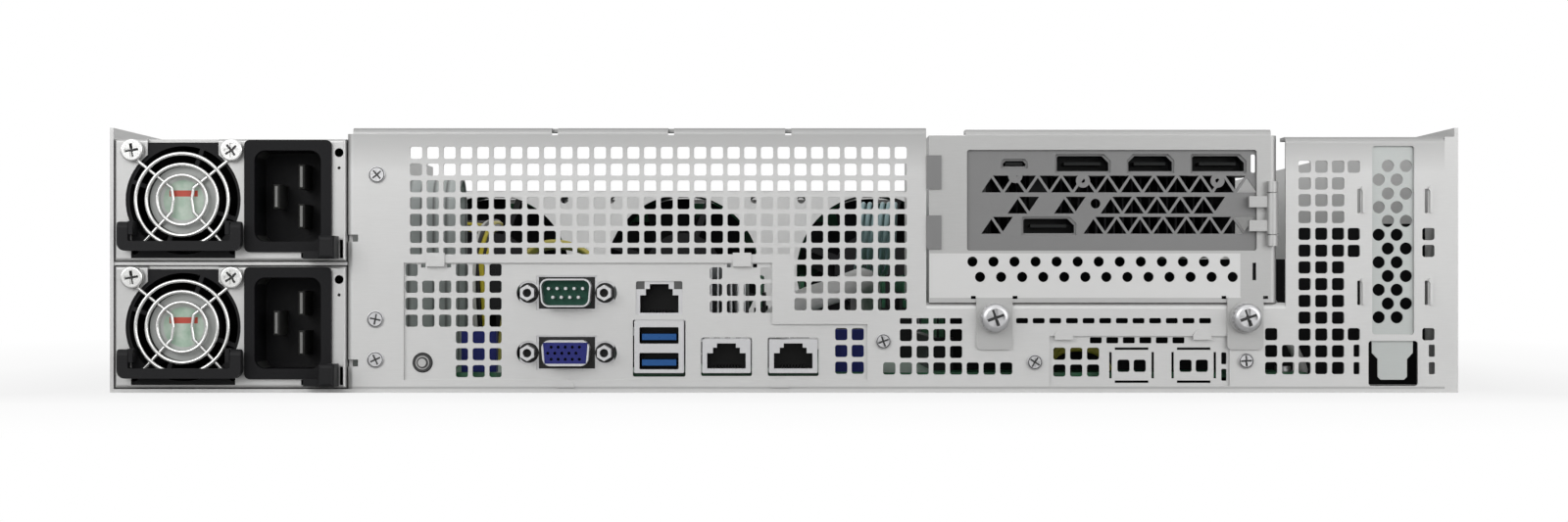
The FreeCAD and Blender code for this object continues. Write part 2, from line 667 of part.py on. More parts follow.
def psu_case(n):
    z0 = psu_z(n)
    z1 = z0 + PSU_H
    shell = box(PSU_X0, PSU_X1, REAR, REAR + PSU_L, z0, z1)
    shell = shell.makeFillet(1.0, [e for e in shell.Edges if abs(e.BoundBox.YMin - REAR) < 1e-6
                                   and abs(e.BoundBox.YMax - REAR) < 1e-6])
    t = PSU_SKIN
    shell = shell.cut(box(PSU_X0 + t, PSU_X1 - t, REAR + t, REAR + PSU_L - t, z0 + t, z1 - t))
    fan_z = psu_fan_z(n)
    inlet_z = psu_inlet_z(n)
    cuts = [rod(Vec(PSU_FAN_X, REAR - 1, fan_z), Vec(0, 1, 0), PSU_FAN_HOLE, t + 2),
            box(PSU_FAN_X - PSU_FAN_GAP, PSU_FAN_X + PSU_FAN_GAP, REAR - 1, REAR + t + 1, fan_z, z1 + 1),
            box(PSU_FAN_X - PSU_FAN_NOTCH, PSU_FAN_X + PSU_FAN_NOTCH, REAR - 1, REAR + t, z0 + t, fan_z)]
    for side in (-1, 1):
        cuts.append(rod(Vec(PSU_FAN_X + side * GUARD_SCREW, REAR - 1, fan_z + GUARD_SCREW),
                        Vec(0, 1, 0), SCREW_R + RUN, t + 2))
    wide = INLET_W / 2 - INLET_RIM + SNUG
    high = INLET_H / 2 - INLET_RIM + SNUG
    cuts.append(box(INLET_X - wide, INLET_X + wide, REAR - 1, REAR + t + 1, inlet_z - high, inlet_z + high))
    slot_z = z0 + t
    cuts.append(box(LATCH_X - 3.5 - LATCH_TRAVEL - FIT, LATCH_X + 3.5 + FIT, REAR - 1, REAR + t + 1,
                    slot_z, slot_z + LATCH_ARM_T + 2 * FIT))
    cuts.append(box(LATCH_X + LATCH_HALF, PSU_X1 - t, REAR - 1, REAR + t + 1, slot_z, slot_z + 6.0))
    cuts.append(rod(Vec(PSU_X1 - 2.3, REAR - 1, z1 - 4.4), Vec(0, 1, 0), 1.45, t + 2))
    cuts.append(rod(Vec(PSU_X1 - 2.3, REAR - 1, z1 - 9.4), Vec(0, 1, 0), 0.5, t + 2))
    far = REAR + PSU_L - t
    for a, b in grid(PSU_X0 + 8, z1 - 6, 10, 3, 6.5, 6.0):
        cuts.append(rod(Vec(a, far - 1, b), Vec(0, 1, 0), 2.0, t + 2))
    mid = (PSU_X0 + PSU_X1) / 2
    edge_z = z0 + TONGUE_RISE
    half = TONGUE_W / 2
    cuts.append(box(mid - half - SNUG, mid + half + SNUG, far - 1, far + t + 1, edge_z - SNUG,
                    edge_z + TONGUE_T + SNUG))
    case = shell.cut(Part.makeCompound(cuts))
    board = box(mid - half, mid + half, far - 30, REAR + PSU_L + TONGUE_L, edge_z, edge_z + TONGUE_T)
    posts = [rod(Vec(mid + s * (half - 4), far - 25, z0 + t), Vec(0, 0, 1), 2.0, TONGUE_RISE - t)
             for s in (-1, 1)]
    return [fuse([case] + posts), board]


def bail_pivot(n):
    """Height of the handle's pins."""
    return psu_fan_z(n) - BAIL_TOP - BAIL_T / 2


def psu_fan_parts(n):
    """Fan housing with the two lugs that carry the handle, and the rotor."""
    y = REAR + PSU_SKIN
    z = psu_fan_z(n)
    size = PSU_H - 2 * PSU_SKIN - 2 * SNUG
    frame = fan_frame(PSU_FAN_X, y, z, size, PSU_FAN_BORE, PSU_FAN_L, PSU_HUB_R, SCREW_R + RUN, GUARD_SCREW)
    pin_y = REAR - BAIL_GAP - BAIL_T / 2
    pin_z = bail_pivot(n)
    lugs = []
    for side in (-1, 1):
        x1 = PSU_FAN_X + side * (BAIL_W / 2 - BAIL_LEG - 0.2)
        x0 = x1 - side * 1.4
        lug = box(min(x0, x1), max(x0, x1), pin_y - 2.0, y, pin_z - 2.2, pin_z + 2.2)
        lugs.append(lug.cut(rod(Vec(x0 - 5, pin_y, pin_z), Vec(1, 0, 0), BAIL_PIN_R + RUN, 10)))
    turning = fan_rotor(PSU_FAN_X, y, z, PSU_FAN_BORE, PSU_FAN_L, PSU_HUB_R, 0.7, BLADES, BLADE_PITCH)
    return fuse([frame] + lugs), turning


def wire_path(points, radius):
    """Round wire through the points, with ball corners."""
    pieces = [Part.makeSphere(radius, p) for p in points]
    for first, last in zip(points, points[1:]):
        pieces.append(rod(first, last - first, radius, (last - first).Length))
    return pieces


def psu_guard(n):
    """Wire finger guard and its two screws."""
    z = psu_fan_z(n)
    r = WIRE / 2
    y = REAR - r
    front = y - WIRE * 0.8
    spin = Vec(0, 1, 0)
    parts = [Part.makeTorus(ring, r, Vec(PSU_FAN_X, front, z), spin) for ring in GUARD_RINGS]
    s = GUARD_SCREW
    for side in (-1, 1):
        shape = ((s, s - 2.2), (3.6, 4.0), (3.0, 0.0), (3.6, -4.0), (s - 2.0, -s + 1.0))
        points = [Vec(PSU_FAN_X + side * a, y, z + b) for a, b in shape]
        parts += wire_path(points, r * 0.9)
        parts.append(Part.makeTorus(2.3, r, Vec(PSU_FAN_X + side * s, y, z + s), spin))
    guard = fuse(parts)
    screws = [screw(PSU_FAN_X + side * s, REAR - WIRE - 0.02, z + s, GUARD_HEAD_R, 1.8, 8.0)
              for side in (-1, 1)]
    return [guard] + screws


def blade(x, z):
    """Flat inlet blade with its tip bevelled all round."""
    y0 = REAR + 2.5
    bevel = 0.6
    bar = box(x - BLADE_T / 2, x + BLADE_T / 2, y0, REAR + INLET_DEPTH - 2,
              z - BLADE_W / 2, z + BLADE_W / 2)
    return bar.makeChamfer(bevel, [e for e in bar.Edges if e.BoundBox.YMax < y0 + 1e-6])


def psu_inlet(n):
    """Panel inlet: rounded recess with an earth blade and two line blades."""
    z = psu_inlet_z(n)
    y = REAR - 1.5
    recess = [rect(INLET_X, z, RECESS_W, RECESS_H, 3.5)]
    body_w = INLET_W - 2 * INLET_RIM
    body_h = INLET_H - 2 * INLET_RIM
    flange = plate_xz(rect(INLET_X, z, INLET_W, INLET_H, 1.8), recess, y, 1.5)
    body = plate_xz(rect(INLET_X, z, body_w, body_h, 1.0), recess, REAR, INLET_DEPTH - 2)
    back = box(INLET_X - body_w / 2, INLET_X + body_w / 2, REAR + INLET_DEPTH - 2, REAR + INLET_DEPTH,
               z - body_h / 2, z + body_h / 2)
    x = INLET_X - 0.4
    offset = EARTH_OFFSET / 2
    places = [(-offset, 0), (offset, LINE_PITCH / 2), (offset, -LINE_PITCH / 2)]
    return [fuse([flange, body, back])] + [blade(x + a, z + b) for a, b in places]


def psu_handle(n):
    """Folding bail under the fan: two legs, the bar and the hinge pins."""
    fan_z = psu_fan_z(n)
    x0, x1 = PSU_FAN_X - BAIL_W / 2, PSU_FAN_X + BAIL_W / 2
    z0, z1 = fan_z - BAIL_LOW, fan_z - BAIL_TOP
    outline = rounded([(x0, z0), (x1, z0), (x1, z1), (x1 - BAIL_LEG, z1), (x1 - BAIL_LEG, z0 + BAIL_BAR),
                       (x0 + BAIL_LEG, z0 + BAIL_BAR), (x0 + BAIL_LEG, z1), (x0, z1)], 0.6)
    y = REAR - BAIL_GAP - BAIL_T
    loop = plate_xz(outline, [], y, BAIL_T)
    outside = rect(PSU_FAN_X, (z0 + z1) / 2 + 5, BAIL_W, z1 - z0 + 10, 2.6)
    loop = loop.common(plate_xz(outside, [], y, BAIL_T))
    swing = rod(Vec(x0, y + BAIL_T / 2, bail_pivot(n)), Vec(1, 0, 0), BAIL_T / 2, BAIL_W)
    rest = box(x0, x1, y, y + BAIL_T, z0, bail_pivot(n))
    loop = loop.common(fuse([rest, swing]))
    pins = []
    for side in (-1, 1):
        inner = PSU_FAN_X + side * (BAIL_W / 2 - BAIL_LEG)
        start = Vec(inner + side, y + BAIL_T / 2, bail_pivot(n))
        pins.append(rod(start, Vec(-side, 0, 0), BAIL_PIN_R, 2.8))
    return fuse([loop] + pins)


def psu_latch(n):
    """Thumb latch: cross bar, upright tab and the arm through the face."""
    z0 = psu_z(n) + PSU_SKIN + FIT
    right = LATCH_X + LATCH_HALF
    back = REAR - 1.9
    bar = box(LATCH_X - 4.1, right, REAR - 6, back, z0 - 0.6, z0 + 1.9)
    tip = REAR - LATCH_REACH
    tab = box(right - 5.3, right, tip, back, z0 - 0.6, z0 + 6.8)
    tab = tab.makeFillet(1.2, [e for e in tab.Edges if e.BoundBox.YMax < tip + 1e-6])
    arm = box(LATCH_X - 3.5, LATCH_X + 3.5, back, REAR + 9, z0, z0 + LATCH_ARM_T)
    return fuse([bar, tab, arm])


# ================= system board and ports =================

def motherboard():
    holes = [disc(x, y, SCREW_R + SNUG) for x, y in board_holes()]
    outline = rect(BOARD_X0 + BOARD_W / 2, BOARD_Y0 + BOARD_L / 2, BOARD_W, BOARD_L)
    return plate_xy(outline, holes, BOARD_Z, BOARD_T)


def cpu_heatsinks():
    sinks = []
    z = BOARD_TOP + SOCKET_H
    y0, y1 = CPU_Y - SINK_L / 2, CPU_Y + SINK_L / 2
    step = (SINK_W - FIN_T) / (SINK_FINS - 1)
    for x in CPU_X:
        x0 = x - SINK_W / 2
        base = box(x0, x0 + SINK_W, y0, y1, z, z + SINK_BASE)
        fins = [box(x0 + i * step, x0 + i * step + FIN_T, y0, y1, z + SINK_BASE, z + SINK_H)
                for i in range(SINK_FINS)]
        sinks.append(base.multiFuse(fins))
    return sinks


def dimm_places():
    """Memory slot centre lines."""
    offsets = [SINK_W / 2 + DIMM_GAP + k * DIMM_STEP for k in range(3)]
    return [x + side * a for x in CPU_X for side in (-1, 1) for a in offsets]


def dimm_slot(x):
    """Slot body with a latch at each end, open along the module."""
    half = DIMM_L / 2 + 4
    body = box(x - 3.2, x + 3.2, DIMM_Y - half, DIMM_Y + half, BOARD_TOP, BOARD_TOP + DIMM_SLOT_H)
    ends = [box(x - 2.4, x + 2.4, DIMM_Y + s * (half - 1.5) - 1.5, DIMM_Y + s * (half - 1.5) + 1.5,
                BOARD_TOP + DIMM_SLOT_H, BOARD_TOP + 20) for s in (-1, 1)]
    groove = box(x - DIMM_T / 2 - SNUG, x + DIMM_T / 2 + SNUG, DIMM_Y - DIMM_L / 2 - SNUG,
                 DIMM_Y + DIMM_L / 2 + SNUG, BOARD_TOP + 2, BOARD_TOP + 30)
    return fuse([body] + ends).cut(groove)


def memory_modules():
    modules = []
    for x in dimm_places():
        z = BOARD_TOP + 2
        card = box(x - DIMM_T / 2, x + DIMM_T / 2, DIMM_Y - DIMM_L / 2, DIMM_Y + DIMM_L / 2, z,
                   z + DIMM_H)
        chips = []
        for i in range(9):
            y = DIMM_Y - DIMM_L / 2 + 8 + i * 13.2
            chips.append(box(x - DIMM_T / 2 - 0.9, x + DIMM_T / 2 + 0.9, y, y + 9, z + 11, z + 24))
        modules.append(fuse([card] + chips))
    return modules


def block(x, y, w, length, h, z=None):
    z = BOARD_TOP if z is None else z
    return box(x - w / 2, x + w / 2, y - length / 2, y + length / 2, z, z + h)


def board_parts():
    """Sockets, slots, chipset cooler, plugs, chokes and cell on the board."""
    parts = [block(x, CPU_Y, 62, 80, SOCKET_H) for x in CPU_X]
    parts += [dimm_slot(x) for x in dimm_places()]
    chip_x, chip_y = BOARD_X0 + 118.0, BOARD_Y0 + 120.0
    fins = [block(chip_x - 18 + i * 4, chip_y, 1.2, 40, 12, BOARD_TOP + 3) for i in range(10)]
    parts.append(fuse([block(chip_x, chip_y, 40, 40, 3)] + fins))
    for i in range(3):
        parts.append(block(BOARD_X0 + 212 + i * 20.32, BOARD_Y0 + 96, 7.5, 89, 11))
    riser_slot = block(RISER_CARD_X, BOARD_Y0 + 84, 7.5, 120, 11)
    groove = box(RISER_CARD_X - 0.8 - SNUG, RISER_CARD_X + 0.8 + SNUG, BOARD_Y0 + 26, BOARD_Y0 + 142,
                 BOARD_TOP + 2, BOARD_TOP + 12)
    parts.append(riser_slot.cut(groove))
    parts.append(block(POWER_PLUG_X, POWER_PLUG_Y, 10, 52, 9))
    cell = rod(Vec(BOARD_X0 + 70, BOARD_Y0 + 70, BOARD_TOP + 2), Vec(0, 0, 1), 10.0, 3.2)
    holder = block(BOARD_X0 + 70, BOARD_Y0 + 70, 23, 23, 2)
    parts.append(fuse([holder, cell]))
    for x in CPU_X:
        for i in range(6):
            parts.append(block(x - 25 + i * 10, CPU_Y - 66, 8, 8, 6))
    for i in range(5):
        parts.append(rod(Vec(BOARD_X0 + 40 + i * 11, BOARD_Y0 + 175, BOARD_TOP), Vec(0, 0, 1), 4.0, 9))
    for i in range(4):
        parts.append(block(BOARD_X0 + 126 + i * 12, BOARD_Y0 + 60, 8, 17, 7))
    return parts


def dsub_wire(z, w, h, r=2.6, lean=0.8):
    """D outline, wide at the top, its corners rounded to r."""
    return rounded([(PORT_X - w / 2 + lean, z - h / 2), (PORT_X + w / 2 - lean, z - h / 2),
                    (PORT_X + w / 2, z + h / 2), (PORT_X - w / 2, z + h / 2)], r)


def dsub_body(z, z0, z1):
    """Flange and rear block of a D connector, with two jack posts."""
    flange = plate_xz(rect(PORT_X, z, 30.8, 12.2, 1.5), [], INNER + COVER, 1.0)
    rear = box(PORT_X - 15.4, PORT_X + 15.4, INNER + COVER + 1.0, INNER + 14, z0, z1)
    parts = [flange, rear]
    reach = SHELL_REACH - 1.0
    for side in (-1, 1):
        x = PORT_X + side * POST_X
        hexagon = [(x + POST_R * math.cos(math.radians(a)), z + POST_R * math.sin(math.radians(a)))
                   for a in range(30, 390, 60)]
        parts.append(plate_xz(poly(hexagon), [disc(x, z, POST_BORE_R)], REAR - reach,
                              INNER + COVER - REAR + reach))
    return parts


def dsub_shell(z, w, h, wall=0.5):
    """Thin D shell that stands out behind the flange."""
    inside = dsub_wire(z, w - 2 * wall, h - 2 * wall, 2.6 - wall, 0.75)
    return plate_xz(dsub_wire(z, w, h), [inside], REAR - SHELL_REACH, INNER + COVER - REAR + SHELL_REACH)


def serial_port():
    z = SERIAL_Z
    pins = []
    for row, count in ((1.42, 5), (-1.42, 4)):
        for i in range(count):
            x = PORT_X + (i - (count - 1) / 2) * PIN_STEP
            pins.append(rod(Vec(x, REAR - 4.0, z + row), Vec(0, 1, 0), 0.5, 6.6))
    body = dsub_body(z, (VGA_Z + z) / 2, z + 7.4)
    return fuse(body + [dsub_shell(z, 17.0, 9.2)] + pins)


def vga_port():
    z = VGA_Z
    holes = []
    for row, shift in ((1.98, 0.0), (0.0, -1.1), (-1.98, 0.0)):
        for i in range(5):
            holes.append(disc(PORT_X + (i - 2) * 2.29 + shift, z + row, 0.5))
    core = plate_xz(dsub_wire(z, 15.0, 7.4, 2.1, 0.75), holes, REAR - SHELL_REACH + 0.4,
                    INNER + COVER - REAR + SHELL_REACH - 0.4)
    return fuse(dsub_body(z, BOARD_TOP, (z + SERIAL_Z) / 2) + [dsub_shell(z, 16.0, 8.4), core])


def jack_socket(x, z, scale=1.0):
    """Stepped opening of a LAN jack, seen from the rear."""
    half = [(6.3, -3.6), (6.3, 1.4), (4.4, 1.4), (4.4, 3.2), (3.1, 3.2), (3.1, 4.6)]
    right = [(x + a, z + b * scale) for a, b in half]
    left = [(x - a, z + b * scale) for a, b in reversed(half)]
    return poly(right + left)


def lan_body(x, y, z0, z1, socket_z, scale=1.0):
    outline = rect(x, (z0 + z1) / 2, JACK_W, z1 - z0, 0.4)
    face = plate_xz(outline, [jack_socket(x, socket_z, scale)], y, JACK_DEEP)
    back = box(x - JACK_W / 2, x + JACK_W / 2, y + JACK_DEEP, y + JACK_L, z0, z1)
    floor = socket_z - 3.6 * scale
    contacts = [box(x - 3.7 + i * 1.02, x - 3.3 + i * 1.02, y + 3, y + JACK_DEEP, floor, floor + 0.8)
                for i in range(8)]
    return fuse([face, back] + contacts)


def lan_jacks():
    return [lan_body(x, REAR + JACK_STEP, BOARD_TOP, LAN_TOP, LAN_Z) for x in LAN_X]


def usb_lan_jack():
    """LAN jack on top of two USB sockets, in one shield."""
    y = REAR + JACK_STEP
    x = JACK_X
    half = JACK_W / 2 + 0.2
    sockets = [rect(x, z, USB_W, USB_H, 0.4) for z in USB_Z]
    outline = rect(x, (BOARD_TOP + JACK_SPLIT) / 2, 2 * half, JACK_SPLIT - BOARD_TOP, 0.4)
    face = plate_xz(outline, sockets, y, JACK_DEEP)
    back = box(x - half, x + half, y + JACK_DEEP, y + JACK_L, BOARD_TOP, JACK_SPLIT)
    tongues = [box(x - 5.6, x + 5.6, y + 1.2, y + JACK_DEEP, z - 1.5, z + 0.5) for z in USB_Z]
    upper = lan_body(x, INNER + COVER + SNUG / 2, JACK_SPLIT, JACK_TOP, UPPER_LAN_Z, 1.15)
    return fuse([face, back, upper] + tongues)


def id_button():
    return fuse([rod(Vec(BUTTON_X, REAR - 0.5, BUTTON_Z), Vec(0, 1, 0), BUTTON_R, 8.0),
                 rod(Vec(BUTTON_X, REAR + 0.5, BUTTON_Z), Vec(0, 1, 0), BUTTON_HOLE_R - FIT, 1.2)])


def id_switch():
    """Switch body that holds the button's stem."""
    body = box(BUTTON_X - 4, BUTTON_X + 4, REAR + 6.2, REAR + 14, BOARD_TOP, BUTTON_Z + 4)
    return body.cut(rod(Vec(BUTTON_X, REAR + 5, BUTTON_Z), Vec(0, 1, 0), BUTTON_R + RUN, 5.0))


# ================= riser and graphics card =================

def riser_cage():
    width = CAGE_X1 - CAGE_X0
    holes = [rect(CARD_OPEN_X + CARD_OPEN_W / 2, CARD_OPEN_Z0 + CARD_OPEN_H / 2, CARD_OPEN_W,
                  CARD_OPEN_H, 0.8)]
    holes += [disc(CARD_OPEN_X + 1.8 + i * 6.87, STRIP_Z + 13.4, 1.66) for i in range(13)]
    holes += [disc(CARD_OPEN_X + 4.3 + i * 6.87, STRIP_Z + 8.4, 1.66) for i in range(13)]
    holes.append(rect(CARD_OPEN_X + 93.8, STRIP_Z + 10.2, 1.2, 5.7))
    for x in THUMB_X:
        for side in (-1, 1):
            holes.append(rect(x + side * (TAB_W / 2 + 0.9), STRIP_Z + 1.6, 1.6, 1.2))
    x1 = CAGE_X1 - BEND
    z1 = CAGE_TOP - BEND
    outline = poly([(CAGE_X0, STRIP_Z), (x1, STRIP_Z), (x1, z1), (CAGE_X0, z1)])
    up, down, inward = Vec(0, 0, 1), Vec(0, 0, -1), Vec(0, 1, 0)
    parts = [plate_xz(outline, holes, REAR, SHEET),
             bent_flange(Vec(CAGE_X1, REAR, STRIP_Z), Vec(-1, 0, 0), inward, up * (z1 - STRIP_Z), 15.0),
             bent_flange(Vec(CAGE_X0 + 12, REAR, CAGE_TOP), down, inward, Vec(x1 - CAGE_X0 - 12, 0, 0), LIP),
             box(CAGE_X0, CAGE_X0 + SHEET, REAR, REAR + RISER_L, STRIP_Z, CAGE_TOP - 2),
             box(CAGE_X0, x1, REAR, REAR + LIP, STRIP_Z, STRIP_Z + SHEET)]
    for z in (52.4, 72.0):
        parts.append(box(CAGE_X0 - 0.8, CAGE_X0 + 4, REAR - 0.9, REAR, z - 5.5, z + 5.5))
    for x in THUMB_X:
        ring = [disc(x, THUMB_Z, SCREW_R + RUN)]
        tab = rect(x, (TAB_Z0 + STRIP_Z + 2) / 2, TAB_W, STRIP_Z + 2 - TAB_Z0, 1.5)
        parts.append(plate_xz(tab, ring, REAR - SHEET, SHEET))
        parts.append(plate_xz(disc(x, THUMB_Z, RING_R), ring, REAR - SHEET - RING_T, RING_T))
    pin_y = REAR - HINGE_R
    low = CLAMP_Z - CLAMP_H / 2 - KNUCKLE_H
    parts.append(rod(Vec(HINGE_X, pin_y, low), up, HINGE_PIN_R, CLAMP_H + 2 * KNUCKLE_H))
    for z in (low, CLAMP_Z + CLAMP_H / 2):
        parts.append(rod(Vec(HINGE_X, pin_y, z), up, HINGE_R, KNUCKLE_H))
        parts.append(box(HINGE_X - 1, HINGE_X + 1, pin_y, REAR, z, z + KNUCKLE_H))
    for y in (60.0, 130.0):
        parts.append(rod(Vec(CAGE_X0 + SHEET, REAR + y, 62), Vec(1, 0, 0), 2.5,
                         RISER_CARD_X - PCB_T / 2 - CAGE_X0 - SHEET))
    return fuse(parts)


def card_clamp():
    """Hinged clamp whose two hooks hold the card's bracket."""
    up = Vec(0, 0, 1)
    y = REAR - HINGE_R
    height = CLAMP_H - 2 * FIT
    z0 = CLAMP_Z - height / 2
    parts = [rod(Vec(HINGE_X, y, z0), up, HINGE_R, height)]
    for z in (z0 + 1.0, z0 + height - HOOK_H - 1.0):
        parts.append(box(HOOK_X, HINGE_X, y - 0.6, y + 0.6, z, z + HOOK_H))
        parts.append(box(HOOK_X, HOOK_X + 1.2, y - 0.6, REAR - FIT, z, z + HOOK_H))
    return fuse(parts).cut(rod(Vec(HINGE_X, y, z0 - 1), up, HINGE_PIN_R + RUN, height + 2))


def thumb_screw(i):
    """Captive screw with a fluted head and a cross recess."""
    x = THUMB_X[i]
    y = REAR - SHEET - RING_T - RUN
    body = screw(x, y, THUMB_Z, THUMB_R, THUMB_H, 8.0, SCREW_R, 1.6)
    flutes = []
    for k in range(THUMB_FLUTES):
        a = 2 * math.pi * k / THUMB_FLUTES
        flutes.append(rod(Vec(x + THUMB_R * math.cos(a), y - THUMB_H + 1.2, THUMB_Z + THUMB_R * math.sin(a)),
                          Vec(0, 1, 0), 0.35, THUMB_H))
    return body.cut(Part.makeCompound(flutes))


def riser_board():
    """Upright riser card and the card slot on its face."""
    x = RISER_CARD_X
    y0 = BOARD_Y0 + 26 + FIT
    card = box(x - PCB_T / 2, x + PCB_T / 2, y0, y0 + 115, BOARD_TOP + 2 + SNUG, GPU_Z + 4)
    slot = box(x + PCB_T / 2, x + PCB_T / 2 + 8, y0 + 10, y0 + 99, GPU_Z - 4, GPU_Z + 4)
    groove = box(GPU_X0 - FIT, x + 20, y0 + 12, y0 + 97, GPU_Z - PCB_T / 2 - SNUG, GPU_Z + PCB_T / 2 + SNUG)
    return [card, slot.cut(groove)]


def gpu_ports():
    """Output sockets as (x, z, width, height, lip, left cut, right cut)."""
    top = CARD_OPEN_Z0 + 28.5
    low = CARD_OPEN_Z0 + 8.1
    x = CARD_OPEN_X
    return [(x + 15.6, top, 8.6, 3.0, 0.0, 0.9, 0.9), (x + 38.0, top, 18.1, 6.2, 1.0, 0.5, 2.2),
            (x + 60.1, top, 15.5, 6.2, 1.0, 2.0, 2.0), (x + 82.3, top, 18.2, 6.2, 1.0, 0.5, 2.2),
            (x + 26.9, low, 17.8, 6.0, 1.0, 0.5, 2.2)]


def port_wire(x, z, w, h, left, right):
    """Socket outline whose upper corners are cut off by left and right."""
    return rounded([(x - w / 2, z - h / 2), (x + w / 2, z - h / 2), (x + w / 2, z + h / 2 - right),
                    (x + w / 2 - right, z + h / 2), (x - w / 2 + left, z + h / 2),
                    (x - w / 2, z + h / 2 - left)], 0.2)


def triangle(x, z, up):
    s = 1 if up else -1
    z -= s * MESH_LEAN
    return poly([(x - MESH_W / 2, z - s * MESH_H / 2), (x + MESH_W / 2, z - s * MESH_H / 2),
                 (x, z + s * MESH_H / 2)])


def triangle_row(x0, x1, z, skips=()):
    """Triangles pointing up and down in turn between x0 and x1."""
    count = int((x1 - x0 - MESH_W) / (MESH_PITCH / 2)) + 1
    places = [x0 + MESH_W / 2 + i * MESH_PITCH / 2 for i in range(count)]
    return [triangle(x, z, i % 2 == 0) for i, x in enumerate(places)
            if all(abs(x - s) > r for s, r in skips)]


def gpu_bracket():
    x, z = CARD_OPEN_X, CARD_OPEN_Z0
    holes = triangle_row(x + 4.8, x + 95.0, z + 21.8)
    holes += triangle_row(x + 13.4, x + 86.0, z + 14.9, ((x + 26.8, 3.0), (x + 42.1, 4.9)))
    holes += triangle_row(x + 4.8, x + 15.5, z + 8.3)
    holes += triangle_row(x + 38.2, x + 94.3, z + 8.3)
    for px, pz, w, h, lip, left, right in gpu_ports():
        holes.append(port_wire(px, pz, w, h, left, right))
    holes.append(rect(x + 93.6, z + 28.5, 1.5, 6.0, 0.5))
    holes.append(disc(x + 42.1, z + 15.4, 1.6))
    outline = rect((GPU_X0 + CAGE_X1 - 2.4) / 2, z + 16.4, CAGE_X1 - 2.4 - GPU_X0, 36.6, 1.0)
    y = INNER + SNUG
    sheet = plate_xz(outline, holes, y, COVER)
    foot = box(CAGE_X1 - 2.4 - COVER, CAGE_X1 - 2.4, y, y + 10, z + 2, z + 30)
    inward = Vec(0, 1, 0)
    pads = [tube(Vec(x + a, y, z + b), inward, PAD_R, 0.7, COVER)
            for a, b in ((15.9, 24.4), (38.0, 22.9), (82.0, 22.9))]
    bosses = [rod(Vec(x + a, y - 0.05, z + 15.4), inward, 1.9, 1.0) for a in (9.6, 86.7)]
    return fuse([sheet, foot] + pads + bosses)


def gpu_board():
    """Card and its output sockets."""
    y0 = INNER + SNUG + COVER + FIT
    card = box(GPU_X0 + 6, GPU_X1, y0, y0 + GPU_L, GPU_Z - PCB_T / 2, GPU_Z + PCB_T / 2)
    edge = box(GPU_X0, GPU_X0 + 6, BOARD_Y0 + 39, BOARD_Y0 + 122, GPU_Z - PCB_T / 2, GPU_Z + PCB_T / 2)
    parts = [fuse([card, edge])]
    for px, pz, w, h, lip, left, right in gpu_ports():
        shell_w, shell_h = w + 2 * lip, h + 2 * lip
        outer = rect(px, pz, shell_w, shell_h, 0.8)
        inner = port_wire(px, pz, w - 1.2, h - 1.2, left, right)
        back_z1 = min(pz + shell_h / 2, GPU_Z - PCB_T / 2)
        shell = plate_xz(outer, [inner], y0, 8.0)
        back = box(px - shell_w / 2, px + shell_w / 2, y0 + 8, y0 + 14, pz - shell_h / 2, back_z1)
        blade = box(px - w * 0.33, px + w * 0.33, y0 + 1, y0 + 8, pz - 0.5, pz + 0.5)
        socket = fuse([shell, back, blade])
        limit = box(px - 20, px + 20, y0, y0 + 20, pz - 20, GPU_Z - PCB_T / 2)
        parts.append(socket.common(limit))
    low = gpu_ports()[-1]
    riser = box(low[0] - 5.5, low[0] + 0.5, y0 + 8.5, y0 + 13.5, low[1] + low[3] / 2 + low[4],
                GPU_Z - PCB_T / 2)
    parts[-1] = fuse([parts[-1], riser])
    return parts


def gpu_cooler():
    """Shroud open at both ends, the fin stack in it and the back plate."""
    y0 = INNER + 20.0
    y1 = y0 + GPU_L - 20
    x0, x1 = GPU_X0 + 10, GPU_X1 - 1
    z1 = GPU_Z - PCB_T / 2
    z0 = z1 - GPU_H
    t = 1.2
    shroud = box(x0, x1, y0, y1, z0, z1).cut(box(x0 + t, x1 - t, y0 - 1, y1 + 1, z0 + t, z1 + 1))
    base = box(x0 + t, x1 - t, y0 + 12, y1 - 12, z1 - 4, z1)
    step = 3.0
    count = int((x1 - x0 - 2 * t - 2) / step)
    fins = [box(x0 + t + 1 + i * step, x0 + t + 1.6 + i * step, y0 + 12, y1 - 12, z0 + t, z1 - 4)
            for i in range(count)]
    plate_z = GPU_Z + PCB_T / 2
    back = box(GPU_X0 + 14, GPU_X1, y0, y1, plate_z, plate_z + 1.4)
    return [shroud, base.multiFuse(fins), back]


# ================= fans =================

def fan_x(i):
    return FAN_MID_X + (i - (FANS - 1) / 2) * FAN_PITCH


def fan_wall():
    """Sheet with one round opening per fan, and ribs between the fans."""
    corners = [(a * FAN_MOUNT, b * FAN_MOUNT) for a in (-1, 1) for b in (-1, 1)]
    holes = []
    for i in range(FANS):
        holes.append(disc(fan_x(i), FAN_Z, FAN_BORE / 2))
        holes += [disc(fan_x(i) + a, FAN_Z + b, 2.0) for a, b in corners]
    outline = poly([(LEFT, FLOOR), (RIGHT, FLOOR), (RIGHT, FAN_WALL_TOP), (LEFT, FAN_WALL_TOP)])
    y1 = FAN_WALL_Y + FAN_L + 6
    parts = [plate_xz(outline, holes, FAN_WALL_Y, SHEET),
             box(LEFT, RIGHT, FAN_WALL_Y, y1, FLOOR, FLOOR + SHEET)]
    ends = [fan_x(0) - FAN_PITCH / 2] + [fan_x(i) + FAN_PITCH / 2 for i in range(FANS)]
    for x in ends:
        parts.append(box(x - SHEET / 2, x + SHEET / 2, FAN_WALL_Y, y1, FLOOR, FAN_WALL_TOP - 6))
    return fuse(parts)


def fan_frames():
    return [fan_frame(fan_x(i), FAN_WALL_Y + SHEET, FAN_Z, FAN, FAN_BORE, FAN_L, FAN_HUB_R, 2.2, FAN_MOUNT)
            for i in range(FANS)]


